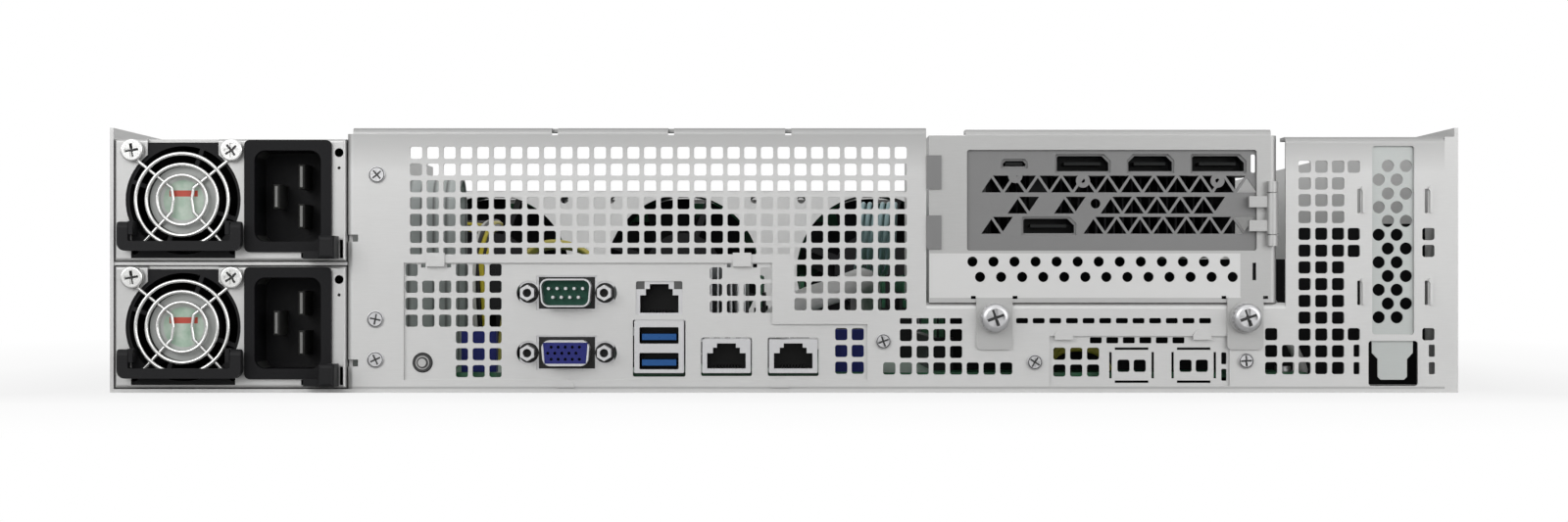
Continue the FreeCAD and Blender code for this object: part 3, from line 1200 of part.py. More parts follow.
def case_rotor(i):
    y = FAN_WALL_Y + SHEET
    return fan_rotor(fan_x(i), y, FAN_Z, FAN_BORE, FAN_L, FAN_HUB_R, 1.0, BLADES, BLADE_PITCH)


# ================= drives and front =================

def bay_x(i):
    return LEFT + (i + 0.5) * BAY_PITCH


def hexagon(x, z, r):
    return poly([(x + r * math.cos(math.radians(a)), z + r * math.sin(math.radians(a)))
                 for a in range(30, 390, 60)])


def drive_cage():
    """Floor, shelf, bay walls and the perforated front sheet above them."""
    parts = [box(LEFT, RIGHT, CAGE_Y, FRONT, FLOOR, FLOOR + CAGE_T),
             box(LEFT, RIGHT, CAGE_Y, FRONT, CAGE_H - CAGE_T, CAGE_H)]
    for i in range(BAYS + 1):
        x = LEFT + i * BAY_PITCH
        x0 = max(LEFT, x - CAGE_T / 2)
        x1 = min(RIGHT, x + CAGE_T / 2)
        parts.append(box(x0, x1, CAGE_Y, FRONT, FLOOR, CAGE_H))
    step = 8.0
    rise = step * math.sin(math.radians(60))
    holes = []
    rows = int((HEIGHT - CAGE_H - 8) / rise)
    for j in range(rows):
        shift = step / 2 if j % 2 else 0
        count = int((RIGHT - LEFT - 16 - shift) / step) + 1
        for i in range(count):
            x, z = LEFT + 8 + shift + i * step, CAGE_H + 6 + j * rise
            if math.hypot(x - POWER_X, z - POWER_Z) > POWER_R + 6:
                holes.append(hexagon(x, z, 3.8))
    holes.append(disc(POWER_X, POWER_Z, POWER_R + FIT))
    outline = poly([(LEFT, CAGE_H), (RIGHT, CAGE_H), (RIGHT, HEIGHT - 0.5), (LEFT, HEIGHT - 0.5)])
    parts.append(plate_xz(outline, holes, FRONT - SHEET, SHEET))
    parts.append(box(LEFT, RIGHT, FRONT - 16, FRONT, HEIGHT - 0.5 - SHEET, HEIGHT - 0.5))
    for x in (LEFT, RIGHT - SHEET):
        parts.append(box(x, x + SHEET, FRONT - 60, FRONT, CAGE_H, HEIGHT - 0.5))
    inner = FRONT - SHEET
    switch = rod(Vec(POWER_X, inner, POWER_Z), Vec(0, -1, 0), POWER_R + 3, 12)
    switch = switch.cut(rod(Vec(POWER_X, inner, POWER_Z), Vec(0, -1, 0), POWER_R + 1 + FIT, 9))
    return fuse(parts + [switch])


def backplane():
    """Full-height board with air slots above the drive plugs."""
    x0, x1 = LEFT + 2, RIGHT - 2
    air_z = CAGE_H + 8
    slots = [rect(bay_x(i) + (k - 2) * 19.0, z, 12.0, 5.0, 2.4) for i in range(BAYS) for k in range(5)
             for z in (air_z, air_z + 28.0)]
    outline = poly([(x0, FLOOR), (x1, FLOOR), (x1, BACKPLANE_TOP), (x0, BACKPLANE_TOP)])
    board = plate_xz(outline, slots, BACKPLANE_Y, 2.0)
    plugs = [box(bay_x(i) - 20, bay_x(i) + 20, BACKPLANE_Y + 2, CAGE_Y + 0.5 + FIT, CARRIER_Z0 + 4,
                 CARRIER_Z0 + 10) for i in range(BAYS)]
    feet = [box(x, x + 10, BACKPLANE_Y + 2, CAGE_Y, CAGE_H - CAGE_T, CAGE_H)
            for x in (LEFT + 20, RIGHT - 30)]
    return [board] + plugs + feet


def carrier(i):
    """Drive carrier: grille face, two rails, and the drive in it."""
    x0 = bay_x(i) - CARRIER_W / 2
    x1 = x0 + CARRIER_W
    z0, z1 = CARRIER_Z0, CARRIER_Z0 + CARRIER_H
    mid = (z0 + z1) / 2
    holes = [hexagon(x0 + 26 + a * 6.0 + (3.0 if b % 2 else 0), z0 + 4.5 + b * 5.2, 2.6)
             for b in range(4) for a in range(11)]
    face_y = FRONT - 2.0
    face = plate_xz(rect((x0 + x1) / 2, mid, CARRIER_W, CARRIER_H, 1.0), holes, face_y, 2.0)
    rails = [box(x0 + (0 if s < 0 else CARRIER_W - 2), x0 + (2 if s < 0 else CARRIER_W),
                 CAGE_Y + 8, face_y, z0, z1 - 4) for s in (-1, 1)]
    floor = box(x0, x1, CAGE_Y + 8, face_y, z0, z0 + 1.5)
    ears = [box(x0 + 1.6, x0 + 8.0, FRONT, FRONT + CARRIER_FACE, z, z + 2.0) for z in (z0 + 0.6, z1 - 2.6)]
    pin = rod(Vec(x0 + 4.8, FRONT + CARRIER_FACE / 2, z0 + 0.6), Vec(0, 0, 1), SCREW_R, CARRIER_H - 1.2)
    catch = box(x1 - 9, x1 - 1, FRONT, FRONT + CARRIER_FACE, z0 + 1, z1 - 1)
    disk = box(bay_x(i) - DRIVE_W / 2, bay_x(i) + DRIVE_W / 2, CAGE_Y + 1.0, CAGE_Y + 1.0 + DRIVE_L,
               z0 + 1.5, z0 + 1.5 + DRIVE_H)
    return [fuse([face, floor, pin, catch] + rails + ears), disk]


def carrier_lever(i):
    """Swinging lever on the carrier's left pin."""
    x0 = bay_x(i) - CARRIER_W / 2
    x1 = x0 + CARRIER_W - 9 - FIT
    z0 = CARRIER_Z0 + 2.6 + FIT
    z1 = CARRIER_Z0 + CARRIER_H - 2.6 - FIT
    y = FRONT + CARRIER_FACE / 2
    up = Vec(0, 0, 1)
    barrel = rod(Vec(x0 + 4.8, y, z0), up, 3.4, z1 - z0)
    arm = box(x0 + 4.8, x1, y + 0.6, y + 3.4, z0, z1)
    window = box(x0 + 16, x1 - 12, y - 1, y + 5, z0 + 4, z1 - 4)
    grip = box(x1 - 3, x1, y - 2.5, y + 3.4, z0, z1)
    return fuse([barrel, arm.cut(window), grip]).cut(rod(Vec(x0 + 4.8, y, z0 - 1), up, SCREW_R + RUN, 60))


def rack_ears():
    """Angle brackets outside the walls, two open-ended slots each."""
    ears = []
    for side in (-1, 1):
        outer = side * EAR_SPAN / 2
        inner = side * WIDTH / 2
        holes = []
        for s in (-1, 1):
            hole = rect(side * EIA_SPAN / 2, HEIGHT / 2 + s * EIA_RISE / 2, SLOT_L, SLOT_W, SLOT_W / 2 - 0.01)
            holes.append(hole)
        face = plate_xz(rect((outer + inner) / 2, HEIGHT / 2, abs(outer - inner), HEIGHT, 1.0), holes,
                        FRONT - EAR_T, EAR_T)
        x0, x1 = sorted((inner, inner + side * EAR_T))
        ears.append(fuse([face, box(x0, x1, FRONT - 60, FRONT, 0.5, HEIGHT - 0.5)]))
    return ears


def ear_handle_x(side):
    return side * (WIDTH / 2 + 6.4)


def ear_handles():
    """Upright grips on the ears; the right one carries the power switch."""
    grips = []
    for side in (-1, 1):
        x = ear_handle_x(side)
        z0, z1 = 14.0, HEIGHT - 14.0
        post = box(x - 4, x + 4, FRONT, FRONT + EAR_REACH, z0, z1)
        post = post.makeFillet(6.0, [e for e in post.Edges if abs(e.BoundBox.YMin - FRONT - EAR_REACH) < 1e-6
                                     and e.BoundBox.XLength > 5])
        hole = plate_yz(rect(FRONT + EAR_REACH / 2 - 1, HEIGHT / 2, EAR_REACH - 12, z1 - z0 - 16, 5.0), [],
                        x - 6, 12)
        grips.append(post.cut(hole))
    return grips


def power_button():
    """Round button in the front sheet, with the collar that keeps it in."""
    outward = Vec(0, 1, 0)
    collar = FRONT - SHEET - FIT - 1.0
    return fuse([rod(Vec(POWER_X, FRONT - SHEET - 7.0, POWER_Z), outward, POWER_R, 8.8),
                 rod(Vec(POWER_X, collar, POWER_Z), outward, POWER_R + 1, 1.0)])


def power_board():
    """Distribution board at the end of the supply bay and its sockets."""
    y = REAR + PSU_L + TONGUE_L + 1.0
    top = psu_z(SUPPLIES - 1) + PSU_H
    board = box(LEFT + 2, BAY_X1, y, y + 2, FLOOR, top)
    mid = (PSU_X0 + PSU_X1) / 2
    parts = [board]
    for n in range(SUPPLIES):
        z = psu_z(n) + TONGUE_RISE
        body = box(mid - TONGUE_W / 2 - 3, mid + TONGUE_W / 2 + 3, y - TONGUE_L, y, z - 3, z + TONGUE_T + 3)
        slot = box(mid - TONGUE_W / 2 - FIT, mid + TONGUE_W / 2 + FIT, y - TONGUE_L - 1, y - 0.5,
                   z - FIT, z + TONGUE_T + FIT)
        parts.append(body.cut(slot))
    parts.append(box(CABLE_X0 - 10, CABLE_X0 + 10, y + 2, y + 14, CABLE_Z - 5, CABLE_Z + 5))
    return parts


def power_cable():
    """Bundled lead from the distribution board to the board's power plug."""
    points = [Vec(*p) for p in CABLE_POINTS]
    edges = []
    here = points[0]
    for before, corner, after in zip(points, points[1:], points[2:]):
        to_corner, away = corner - before, after - corner
        turn = to_corner.getAngle(away)
        radius = 0.45 * min(to_corner.Length, away.Length) / math.tan(turn / 2)
        back = radius * math.tan(turn / 2)
        a = to_corner.normalize()
        b = away.normalize()
        start = corner - a * back
        end = corner + b * back
        centre_way = (b - a).normalize()
        sag = radius / math.cos(turn / 2) - radius
        edges.append(Part.LineSegment(here, start).toShape())
        edges.append(Part.Arc(start, corner + centre_way * sag, end).toShape())
        here = end
    edges.append(Part.LineSegment(here, points[-1]).toShape())
    path = Part.Wire(edges)
    ring = Part.Wire(Part.makeCircle(CABLE_R, points[0], points[1] - points[0]))
    body = path.makePipeShell([ring], True, True)
    return body


def screws():
    """Panel screws, board screws and the foot screw of the slot cover."""
    parts = [screw(x, REAR, z, 2.5, 1.4, 5.0) for x, z in PAN_SCREWS]
    for x, z in FLUSH_SCREWS:
        parts.append(screw(x, REAR, z, 2.75, 0.7, 5.0, SCREW_R, 0.3))
    for x, y in board_holes():
        head = rod(Vec(x, y, BOARD_TOP), Vec(0, 0, 1), 2.7, 1.6)
        shank = rod(Vec(x, y, BOARD_TOP - 3.5), Vec(0, 0, 1), SCREW_R, 3.5)
        parts.append(fuse([head, shank]))
    return parts


def save_all():
    save("chassis_tray", [chassis_tray()])
    save("rear_panel", [rear_panel()])
    save("io_panel", [io_plate()])
    save("network_blank", [network_blank()])
    save("slot_cover", [slot_cover()])
    save("psu_cage", [psu_cage()])
    for n in range(SUPPLIES):
        tag = "psu_%d_" % (n + 1)
        frame, turning = psu_fan_parts(n)
        save(tag + "case", psu_case(n))
        save(tag + "fan_frame", [frame])
        save(tag + "fan_rotor", [turning])
        save(tag + "fan_guard", psu_guard(n))
        save(tag + "inlet", psu_inlet(n))
        save(tag + "handle", [psu_handle(n)])
        save(tag + "latch", [psu_latch(n)])
    save("motherboard", [motherboard()])
    save("cpu_heatsinks", cpu_heatsinks())
    save("memory_modules", memory_modules())
    save("board_parts", board_parts() + [id_switch()])
    save("serial_port", [serial_port()])
    save("vga_port", [vga_port()])
    save("usb_lan_jack", [usb_lan_jack()])
    save("lan_jacks", lan_jacks())
    save("id_button", [id_button()])
    save("riser_cage", [riser_cage()])
    save("riser_board", riser_board())
    save("card_clamp", [card_clamp()])
    save("thumb_screw_1", [thumb_screw(0)])
    save("thumb_screw_2", [thumb_screw(1)])
    save("gpu_bracket", [gpu_bracket()])
    save("gpu_board", gpu_board())
    save("gpu_cooler", gpu_cooler())
    save("fan_wall", [fan_wall()])
    save("fan_frames", fan_frames())
    for i in range(FANS):
        save("fan_%d_rotor" % (i + 1), [case_rotor(i)])
    save("drive_cage", [drive_cage()])
    save("backplane", backplane())
    for i in range(BAYS):
        save("drive_%d_carrier" % (i + 1), carrier(i))
        save("drive_%d_lever" % (i + 1), [carrier_lever(i)])
    save("rack_ears", rack_ears())
    save("ear_handles", ear_handles())
    save("power_button", [power_button()])
    save("power_board", power_board())
    save("power_cable", [power_cable()])
    save("screws", screws())


os.makedirs("parts", exist_ok=True)
save_all()
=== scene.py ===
import math
import bpy
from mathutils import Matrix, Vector

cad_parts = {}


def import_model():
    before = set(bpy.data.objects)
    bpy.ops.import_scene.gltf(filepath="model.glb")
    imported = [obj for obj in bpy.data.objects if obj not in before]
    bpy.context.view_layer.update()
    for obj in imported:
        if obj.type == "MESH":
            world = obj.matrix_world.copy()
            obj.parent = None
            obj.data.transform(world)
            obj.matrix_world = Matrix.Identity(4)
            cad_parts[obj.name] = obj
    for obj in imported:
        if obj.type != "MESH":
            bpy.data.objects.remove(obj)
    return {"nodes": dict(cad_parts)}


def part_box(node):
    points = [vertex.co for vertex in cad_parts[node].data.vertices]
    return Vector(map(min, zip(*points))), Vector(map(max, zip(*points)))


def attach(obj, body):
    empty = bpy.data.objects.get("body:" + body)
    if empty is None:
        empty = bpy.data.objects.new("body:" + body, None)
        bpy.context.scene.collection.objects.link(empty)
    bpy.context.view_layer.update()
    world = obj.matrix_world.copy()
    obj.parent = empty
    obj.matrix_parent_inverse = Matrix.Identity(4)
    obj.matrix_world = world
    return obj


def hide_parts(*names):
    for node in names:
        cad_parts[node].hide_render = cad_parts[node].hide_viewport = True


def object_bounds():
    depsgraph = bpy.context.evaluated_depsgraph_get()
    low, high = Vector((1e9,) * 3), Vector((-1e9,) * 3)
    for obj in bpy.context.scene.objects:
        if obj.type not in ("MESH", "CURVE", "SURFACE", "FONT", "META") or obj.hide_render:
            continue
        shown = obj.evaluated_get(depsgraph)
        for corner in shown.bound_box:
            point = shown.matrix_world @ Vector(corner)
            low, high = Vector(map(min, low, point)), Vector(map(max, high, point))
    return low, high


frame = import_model()
cad_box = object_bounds()

MM = 0.001
HALF_WIDTH = cad_box[1].x                 # half the width across the rack ears
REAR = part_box("chassis_tray")[0].y        # outer face of the rear panel
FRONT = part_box("chassis_tray")[1].y
PANEL_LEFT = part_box("rear_panel")[0].x
BOARD_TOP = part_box("motherboard")[1].z
BOARD = BOARD_TOP / MM                    # the same height in millimetres, for leads that end on the board
SUPPLIES = (1, 2)
FANS = (1, 2, 3, 4)


def middle(node):
    lo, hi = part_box(node)
    return (lo + hi) / 2


def heads(node, span):
    """(lowest, highest) corner of each screw head, at most span across, that stands out of the rear."""
    piece = frame["nodes"][node]
    found = []
    for vert in piece.data.vertices:
        point = piece.matrix_world @ vert.co
        if point.y > REAR - 0.1 * MM:
            continue
        for group in found:
            if (group[0] - point).length < span:
                group.append(point)
                break
        else:
            found.append([point])
    return [(Vector(map(min, zip(*group))), Vector(map(max, zip(*group)))) for group in found]


# ================= shader =================

class Shader:
    """A Principled material with short calls for its nodes. A mask is 1 where it holds and 0 elsewhere."""

    def __init__(self, name, roughness=0.5, metallic=0.0):
        self.material = bpy.data.materials.new(name)
        self.material.use_nodes = True
        self.tree = self.material.node_tree
        self.surface = self.tree.nodes["Principled BSDF"]
        self.surface.inputs["Roughness"].default_value = roughness
        self.surface.inputs["Metallic"].default_value = metallic
        self.place = self.node("ShaderNodeTexCoord").outputs["Object"]

    def node(self, kind, **settings):
        made = self.tree.nodes.new(kind)
        for key, value in settings.items():
            setattr(made, key, value)
        return made

    def wire(self, value, socket):
        """Links a socket, or sets a plain value."""
        if isinstance(value, bpy.types.NodeSocket):
            self.tree.links.new(value, socket)
        else:
            socket.default_value = value

    def math(self, operation, a, b=0.0):
        made = self.node("ShaderNodeMath", operation=operation)
        self.wire(a, made.inputs[0])
        self.wire(b, made.inputs[1])
        return made.outputs[0]

    def vector(self, operation, a, b=(0, 0, 0)):
        made = self.node("ShaderNodeVectorMath", operation=operation)
        self.wire(a, made.inputs[0])
        self.wire(b, made.inputs[1])
        return made.outputs["Value"] if operation == "LENGTH" else made.outputs["Vector"]

    def split(self, vector):
        made = self.node("ShaderNodeSeparateXYZ")
        self.wire(vector, made.inputs[0])
        return made.outputs

    def depth(self):
        """Y, which falls towards the rear."""
        return self.split(self.place)[1]

    # ---- patterns ----

    def noise(self, scale, detail=3.0, stretch=(1, 1, 1)):
        made = self.node("ShaderNodeTexNoise")
        self.wire(self.vector("MULTIPLY", self.place, stretch), made.inputs["Vector"])
        made.inputs["Scale"].default_value = scale
        made.inputs["Detail"].default_value = detail
        return made.outputs["Fac"]

    def cells(self, scale, stretch):
        """Distance to the nearest of many scattered points."""
        made = self.node("ShaderNodeTexVoronoi", distance="MANHATTAN")
        self.wire(self.vector("MULTIPLY", self.place, stretch), made.inputs["Vector"])
        made.inputs["Scale"].default_value = scale
        return made.outputs["Distance"]

    # ---- masks; a centre is (x, z) on the rear ----

    def above(self, value, limit):
        return self.math("GREATER_THAN", value, limit)

    def below(self, value, limit):
        return self.math("LESS_THAN", value, limit)

    def both(self, *masks):
        total = masks[0]
        for mask in masks[1:]:
            total = self.math("MULTIPLY", total, mask)
        return total

    def any_of(self, masks):
        total = masks[0]
        for mask in masks[1:]:
            total = self.math("MAXIMUM", total, mask)
        return total

    def inside(self, lo, hi):
        """The box from lo to hi."""
        lo, hi = Vector(lo), Vector(hi)
        away = self.vector("SUBTRACT", self.place, tuple((lo + hi) / 2))
        away = self.vector("SUBTRACT", self.vector("ABSOLUTE", away), tuple((hi - lo) / 2))
        x, y, z = self.split(away)
        return self.below(self.math("MAXIMUM", self.math("MAXIMUM", x, y), z), 0.0)

    def away_from(self, centre):
        """Place measured from centre, with Y as it was."""
        return self.vector("SUBTRACT", self.place, (centre[0], 0, centre[1]))

    def reach(self, centre):
        """Distance from centre, seen along Y."""
        return self.vector("LENGTH", self.vector("MULTIPLY", self.away_from(centre), (1, 0, 1)))

    def ring(self, centre, inner, outer):
        away = self.reach(centre)
        return self.both(self.above(away, inner), self.below(away, outer))

    def cross(self, centre, length, width, turn):
        """Cross recess turned by some degrees."""
        spin = self.node("ShaderNodeVectorRotate", rotation_type="Y_AXIS")
        self.wire(self.away_from(centre), spin.inputs["Vector"])
        spin.inputs["Angle"].default_value = math.radians(turn)
        x, y, z = self.split(self.vector("ABSOLUTE", spin.outputs["Vector"]))
        narrow = self.below(self.math("MINIMUM", x, z), width / 2)
        return self.both(narrow, self.below(self.math("MAXIMUM", x, z), length / 2))

    # ---- colours ----

    def ramp(self, factor, *stops):
        made = self.node("ShaderNodeValToRGB")
        self.wire(factor, made.inputs[0])
        elements = made.color_ramp.elements
        while len(elements) < len(stops):
            elements.new(0.5)
        for element, (position, colour) in zip(elements, stops):
            element.position = position
            element.color = (*colour, 1.0)
        return made.outputs["Color"]

    def mix(self, factor, a, b):
        made = self.node("ShaderNodeMix", data_type="RGBA")
        self.wire(factor, made.inputs["Factor"])
        for name, value in (("A", a), ("B", b)):
            socket = next(s for s in made.inputs if s.name == name and s.type == "RGBA")
            self.wire((*value, 1.0) if isinstance(value, tuple) else value, socket)
        return next(s for s in made.outputs if s.type == "RGBA")

    def colour(self, value):
        self.wire(value, self.surface.inputs["Base Color"])

    def paint(self, mask, value):
        """Puts another colour over the one worked out so far, where mask holds."""
        so_far = self.surface.inputs["Base Color"].links[0].from_socket
        self.colour(self.mix(mask, so_far, value))

    def bump(self, height, strength, distance):
        made = self.node("ShaderNodeBump")
        made.inputs["Strength"].default_value = strength
        made.inputs["Distance"].default_value = distance
        self.wire(height, made.inputs["Height"])
        self.wire(made.outputs["Normal"], self.surface.inputs["Normal"])


# ================= materials =================

ZINC = (0.56, 0.56, 0.555)
RISER_STEEL = (0.44, 0.44, 0.435)
SCREW_STEEL = (0.55, 0.55, 0.56)
SHELL_STEEL = (0.60, 0.60, 0.61)
MASK_GREEN = (0.012, 0.085, 0.035)
# painted shade for screw recesses and rims
PAINTED_SHADE = (0.05, 0.05, 0.05)
SKIN = 2 * MM             # how far a mask reaches past the sheet that it marks


def tinted(colour, amount):
    return tuple(min(1.0, max(0.0, c * amount)) for c in colour)


def sheet_metal(name, colour, roughness=0.42, metallic=0.55, grain=(1, 14, 14)):
    """Plated sheet: fine rolled grain and cloudy plating."""
    s = Shader(name, roughness, metallic)
    line = s.noise(260.0, 2.0, grain)
    cloud = s.ramp(s.noise(22.0, 4.0), (0.25, tinted(colour, 0.94)), (0.75, tinted(colour, 1.05)))
    rolled = s.ramp(line, (0.3, tinted(colour, 0.95)), (0.7, tinted(colour, 1.04)))
    s.colour(s.mix(0.4, cloud, rolled))
    s.wire(s.math("ADD", roughness - 0.06, s.math("MULTIPLY", line, 0.14)), s.surface.inputs["Roughness"])
    s.bump(line, 0.06, 0.2 * MM)
    return s


def moulded(name, colour, roughness=0.5, grain=900.0, strength=0.12):
    """Moulded plastic with a fine spark-eroded texture."""
    s = Shader(name, roughness)
    s.surface.inputs["Specular IOR Level"].default_value = 0.14
    fine = s.noise(grain, 2.0)
    s.colour(s.ramp(s.noise(30.0, 2.0), (0.3, tinted(colour, 0.88)), (0.7, tinted(colour, 1.14))))
    s.wire(s.math("ADD", roughness - 0.08, s.math("MULTIPLY", fine, 0.16)), s.surface.inputs["Roughness"])
    s.bump(fine, strength, 0.1 * MM)
    return s


def circuit(name, colour=MASK_GREEN, along="xy"):
    """Solder mask over copper traces, with plated holes, on the plane that along names."""
    s = Shader(name, 0.38)
    flat = {"xy": (1, 1, 0), "yz": (0, 1, 1), "xz": (1, 0, 1)}[along]
    traces = s.above(s.noise(520.0, 1.0, (flat[0] * 0.25, flat[1], flat[2])), 0.53)
    masked = s.mix(traces, colour, tinted(colour, 1.75))
    holes = s.both(s.below(s.cells(420.0, flat), 0.16), s.above(s.noise(60.0, 1.0, flat), 0.5))
    plated = s.mix(holes, masked, (0.55, 0.45, 0.22))
    s.colour(s.mix(s.noise(12.0, 2.0, flat), plated, tinted(colour, 1.2)))
    s.bump(traces, 0.1, 0.05 * MM)
    return s


def dress(node, shader):
    """Gives a CAD node its finish."""
    piece = frame["nodes"][node]
    piece.data.materials.clear()
    piece.data.materials.append(shader.material)


# ---- chassis ----

TOP_SHADE_Z = 72 * MM          # painted shade on the rear panel starts here and deepens upwards
TOP_SHADE_RISE = 90.0          # the painted shade is full this steeply, per metre of height
LIP_Z = 2 * MM            # top of the painted shade on the panel's lower lip
STRIP_Z = (31 * MM, 45.5 * MM)
STRIP_INSET = (1 * MM, 12 * MM)
HOOK_Z = (46 * MM, 78 * MM)
HOOK_X = (-1 * MM, 4.9 * MM)
HOOK_PROUD = 0.2 * MM


def panel_finish():
    """Zinc with painted shade towards the top edge and under the lower lip."""
    s = sheet_metal("zinc_panel", ZINC)
    height = s.split(s.place)[2]
    rise = s.math("MULTIPLY", s.math("SUBTRACT", height, TOP_SHADE_Z), TOP_SHADE_RISE)
    top_shade = s.math("MAXIMUM", s.math("SMOOTH_MIN", rise, 1.0), 0.0)
    # painted shade: darker towards the top edge
    s.paint(top_shade, tinted(ZINC, 0.72))
    # painted shade under the lower lip
    s.paint(s.below(height, LIP_Z), tinted(ZINC, 0.7))
    return s


def riser_finish():
    """Dull zinc with a pale perforated strip and painted shade on the hooks at its left edge."""
    s = sheet_metal("riser_sheet", RISER_STEEL, 0.4)
    lo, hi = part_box("riser_cage")
    strip = s.inside((lo.x + STRIP_INSET[0], REAR - SKIN, STRIP_Z[0]),
                     (hi.x - STRIP_INSET[1], REAR + SKIN, STRIP_Z[1]))
    s.paint(strip, (0.60, 0.60, 0.595))
    shaded_hook = s.inside((lo.x + HOOK_X[0], REAR - SKIN, HOOK_Z[0]), (lo.x + HOOK_X[1], REAR + SKIN, HOOK_Z[1]))
    # painted shade on the hooks that stand out from the rear face
    s.paint(s.both(shaded_hook, s.below(s.depth(), REAR - HOOK_PROUD)), (0.20, 0.20, 0.20))
    return s


def screw_finish(node, head, recess, slot, rimmed=False):
    """Plated heads at most head across, each with painted shade in a cross recess turned its own way, and
    with rimmed a painted shade ring inside the edge.
    """
    s = sheet_metal(node + "_plate", SCREW_STEEL, 0.3, 0.8, (9, 9, 9))
    marks = []
    for i, (lo, hi) in enumerate(heads(node, head)):
        centre = ((lo.x + hi.x) / 2, (lo.z + hi.z) / 2)
        marks.append(s.cross(centre, recess, slot, 20 + 37 * i))
        if rimmed:
            rim = (hi.x - lo.x) / 2
            marks.append(s.ring(centre, rim - 0.55 * MM, rim - 0.25 * MM))
    facing = s.below(s.depth(), REAR + 1.0 * MM)
    # painted shade in the cross recesses and rim rings
    s.paint(s.both(facing, s.any_of(marks)), PAINTED_SHADE)
    return s


def chassis_finishes():
    steel = sheet_metal("zinc_sheet", ZINC)
    for node in ("chassis_tray", "io_panel", "network_blank", "psu_cage", "drive_cage"):
        dress(node, steel)
    dress("rear_panel", panel_finish())
    dress("fan_wall", sheet_metal("fan_wall_sheet", (0.66, 0.66, 0.655), 0.5, 0.3))
    dress("slot_cover", sheet_metal("slot_cover_sheet", (0.44, 0.46, 0.45), 0.4))
    riser = riser_finish()
    dress("riser_cage", riser)
    dress("card_clamp", riser)
    dress("gpu_bracket", sheet_metal("bracket_nickel", (0.20, 0.20, 0.20), 0.42, 0.5, (1, 30, 30)))
    dress("screws", screw_finish("screws", 6.5 * MM, 3.6 * MM, 0.55 * MM, rimmed=True))
    for node in ("thumb_screw_1", "thumb_screw_2"):
        dress(node, screw_finish(node, 13.0 * MM, 5.6 * MM, 0.9 * MM))
    dress("rack_ears", moulded("ear_powder", (0.035, 0.035, 0.038), 0.45, 500.0, 0.3))
    dress("ear_handles", moulded("ear_grip", (0.045, 0.045, 0.048), 0.4))


# ---- supplies and fans ----

GUARD_HEAD_R = 3.7 * MM
GUARD_HEAD_DEPTH = 1.3 * MM                          # the guard's heads stand out this far
INLET_WALL = Vector((3.6, 3.9, 3.6)) * MM            # rim and floor round the blades
BLADE_ROOT = 2.05 * MM
BLADE_TIP = 2.55 * MM                                # tips end this far behind the rear panel's face
LABEL_R = 6.6 * MM                                   # printed part of the fan's label
LABEL_BAR = (4.6 * MM, 1.0 * MM, 2.2 * MM)           # half length, half height, height over the middle


def guard_finish(tag):
    """Bright wire rings; the two screws have painted shade in their cross recesses."""
    s = sheet_metal(tag + "guard_wire", (0.74, 0.74, 0.73), 0.22, 0.85, (6, 6, 6))
    lo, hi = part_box(tag + "fan_guard")
    z = hi.z - GUARD_HEAD_R
    marks = [s.cross((x, z), 4.4 * MM, 0.75 * MM, turn)
             for x, turn in ((lo.x + GUARD_HEAD_R, 10), (hi.x - GUARD_HEAD_R, 38))]
    facing = s.below(s.depth(), REAR - GUARD_HEAD_DEPTH)
    # painted shade in the guard screws' cross recesses
    s.paint(s.both(facing, s.any_of(marks)), PAINTED_SHADE)
    return s


def label_finish(name, centre):
    """Blank two-colour label: pale green with a red bar and a grey border."""
    s = Shader(name, 0.35)
    s.colour(s.ramp(s.noise(260.0, 3.0), (0.3, (0.36, 0.52, 0.40)), (0.7, (0.62, 0.70, 0.62))))
    x, y, z = s.split(s.away_from(centre))
    half_length, half_height, rise = LABEL_BAR
    bar = s.both(s.below(s.math("ABSOLUTE", s.math("SUBTRACT", z, rise)), half_height),
                 s.below(s.math("ABSOLUTE", x), half_length))
    s.paint(bar, (0.55, 0.07, 0.04))
    s.paint(s.above(s.reach(centre), LABEL_R), (0.55, 0.57, 0.55))
    return s


def inlet_finish(node):
    """Black body; painted shade over the blades deep in the recess, and a painted highlight on the blade
    tips.
    """
    s = moulded(node + "_black", (0.007, 0.007, 0.008), 0.45)
    lo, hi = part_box(node)
    low = lo + INLET_WALL
    right = hi.x - INLET_WALL.x
    top = hi.z - INLET_WALL.z
    blades = s.inside(low, (right, hi.y - BLADE_ROOT, top))
    # painted shade over the blades and floor deep in the recess
    s.paint(blades, (0.05, 0.05, 0.048))
    # painted highlight on the blade tips near the face
    s.paint(s.inside(low, (right, REAR + BLADE_TIP, top)), (0.20, 0.20, 0.195))
    s.wire(s.math("MULTIPLY", blades, 0.35), s.surface.inputs["Metallic"])
    return s


def supply_finishes():
    case = sheet_metal("supply_nickel", (0.50, 0.50, 0.495), 0.38, 0.65)
    fan = moulded("fan_black", (0.012, 0.012, 0.013), 0.42)
    handle = moulded("handle_black", (0.014, 0.014, 0.015), 0.42, 700.0, 0.2)
    for k in SUPPLIES:
        tag = "psu_%d_" % k
        dress(tag + "case", case)
        dress(tag + "fan_guard", guard_finish(tag))
        dress(tag + "fan_frame", fan)
        dress(tag + "fan_rotor", fan)
        dress(tag + "handle", handle)
        dress(tag + "latch", handle)
        dress(tag + "inlet", inlet_finish(tag + "inlet"))
    for k in FANS:
        dress("fan_%d_rotor" % k, fan)
    dress("fan_frames", fan)


# ---- boards, button and drives ----

CARD_EDGE = 2.75 * MM          # the card's sockets have pale mouths down to here
CHIP_Z = (10.5 * MM, 24.5 * MM)
CHIP_PITCH = 13.2 * MM
CHIP_LENGTH = 9.1 * MM
CHIP_START = 8 * MM


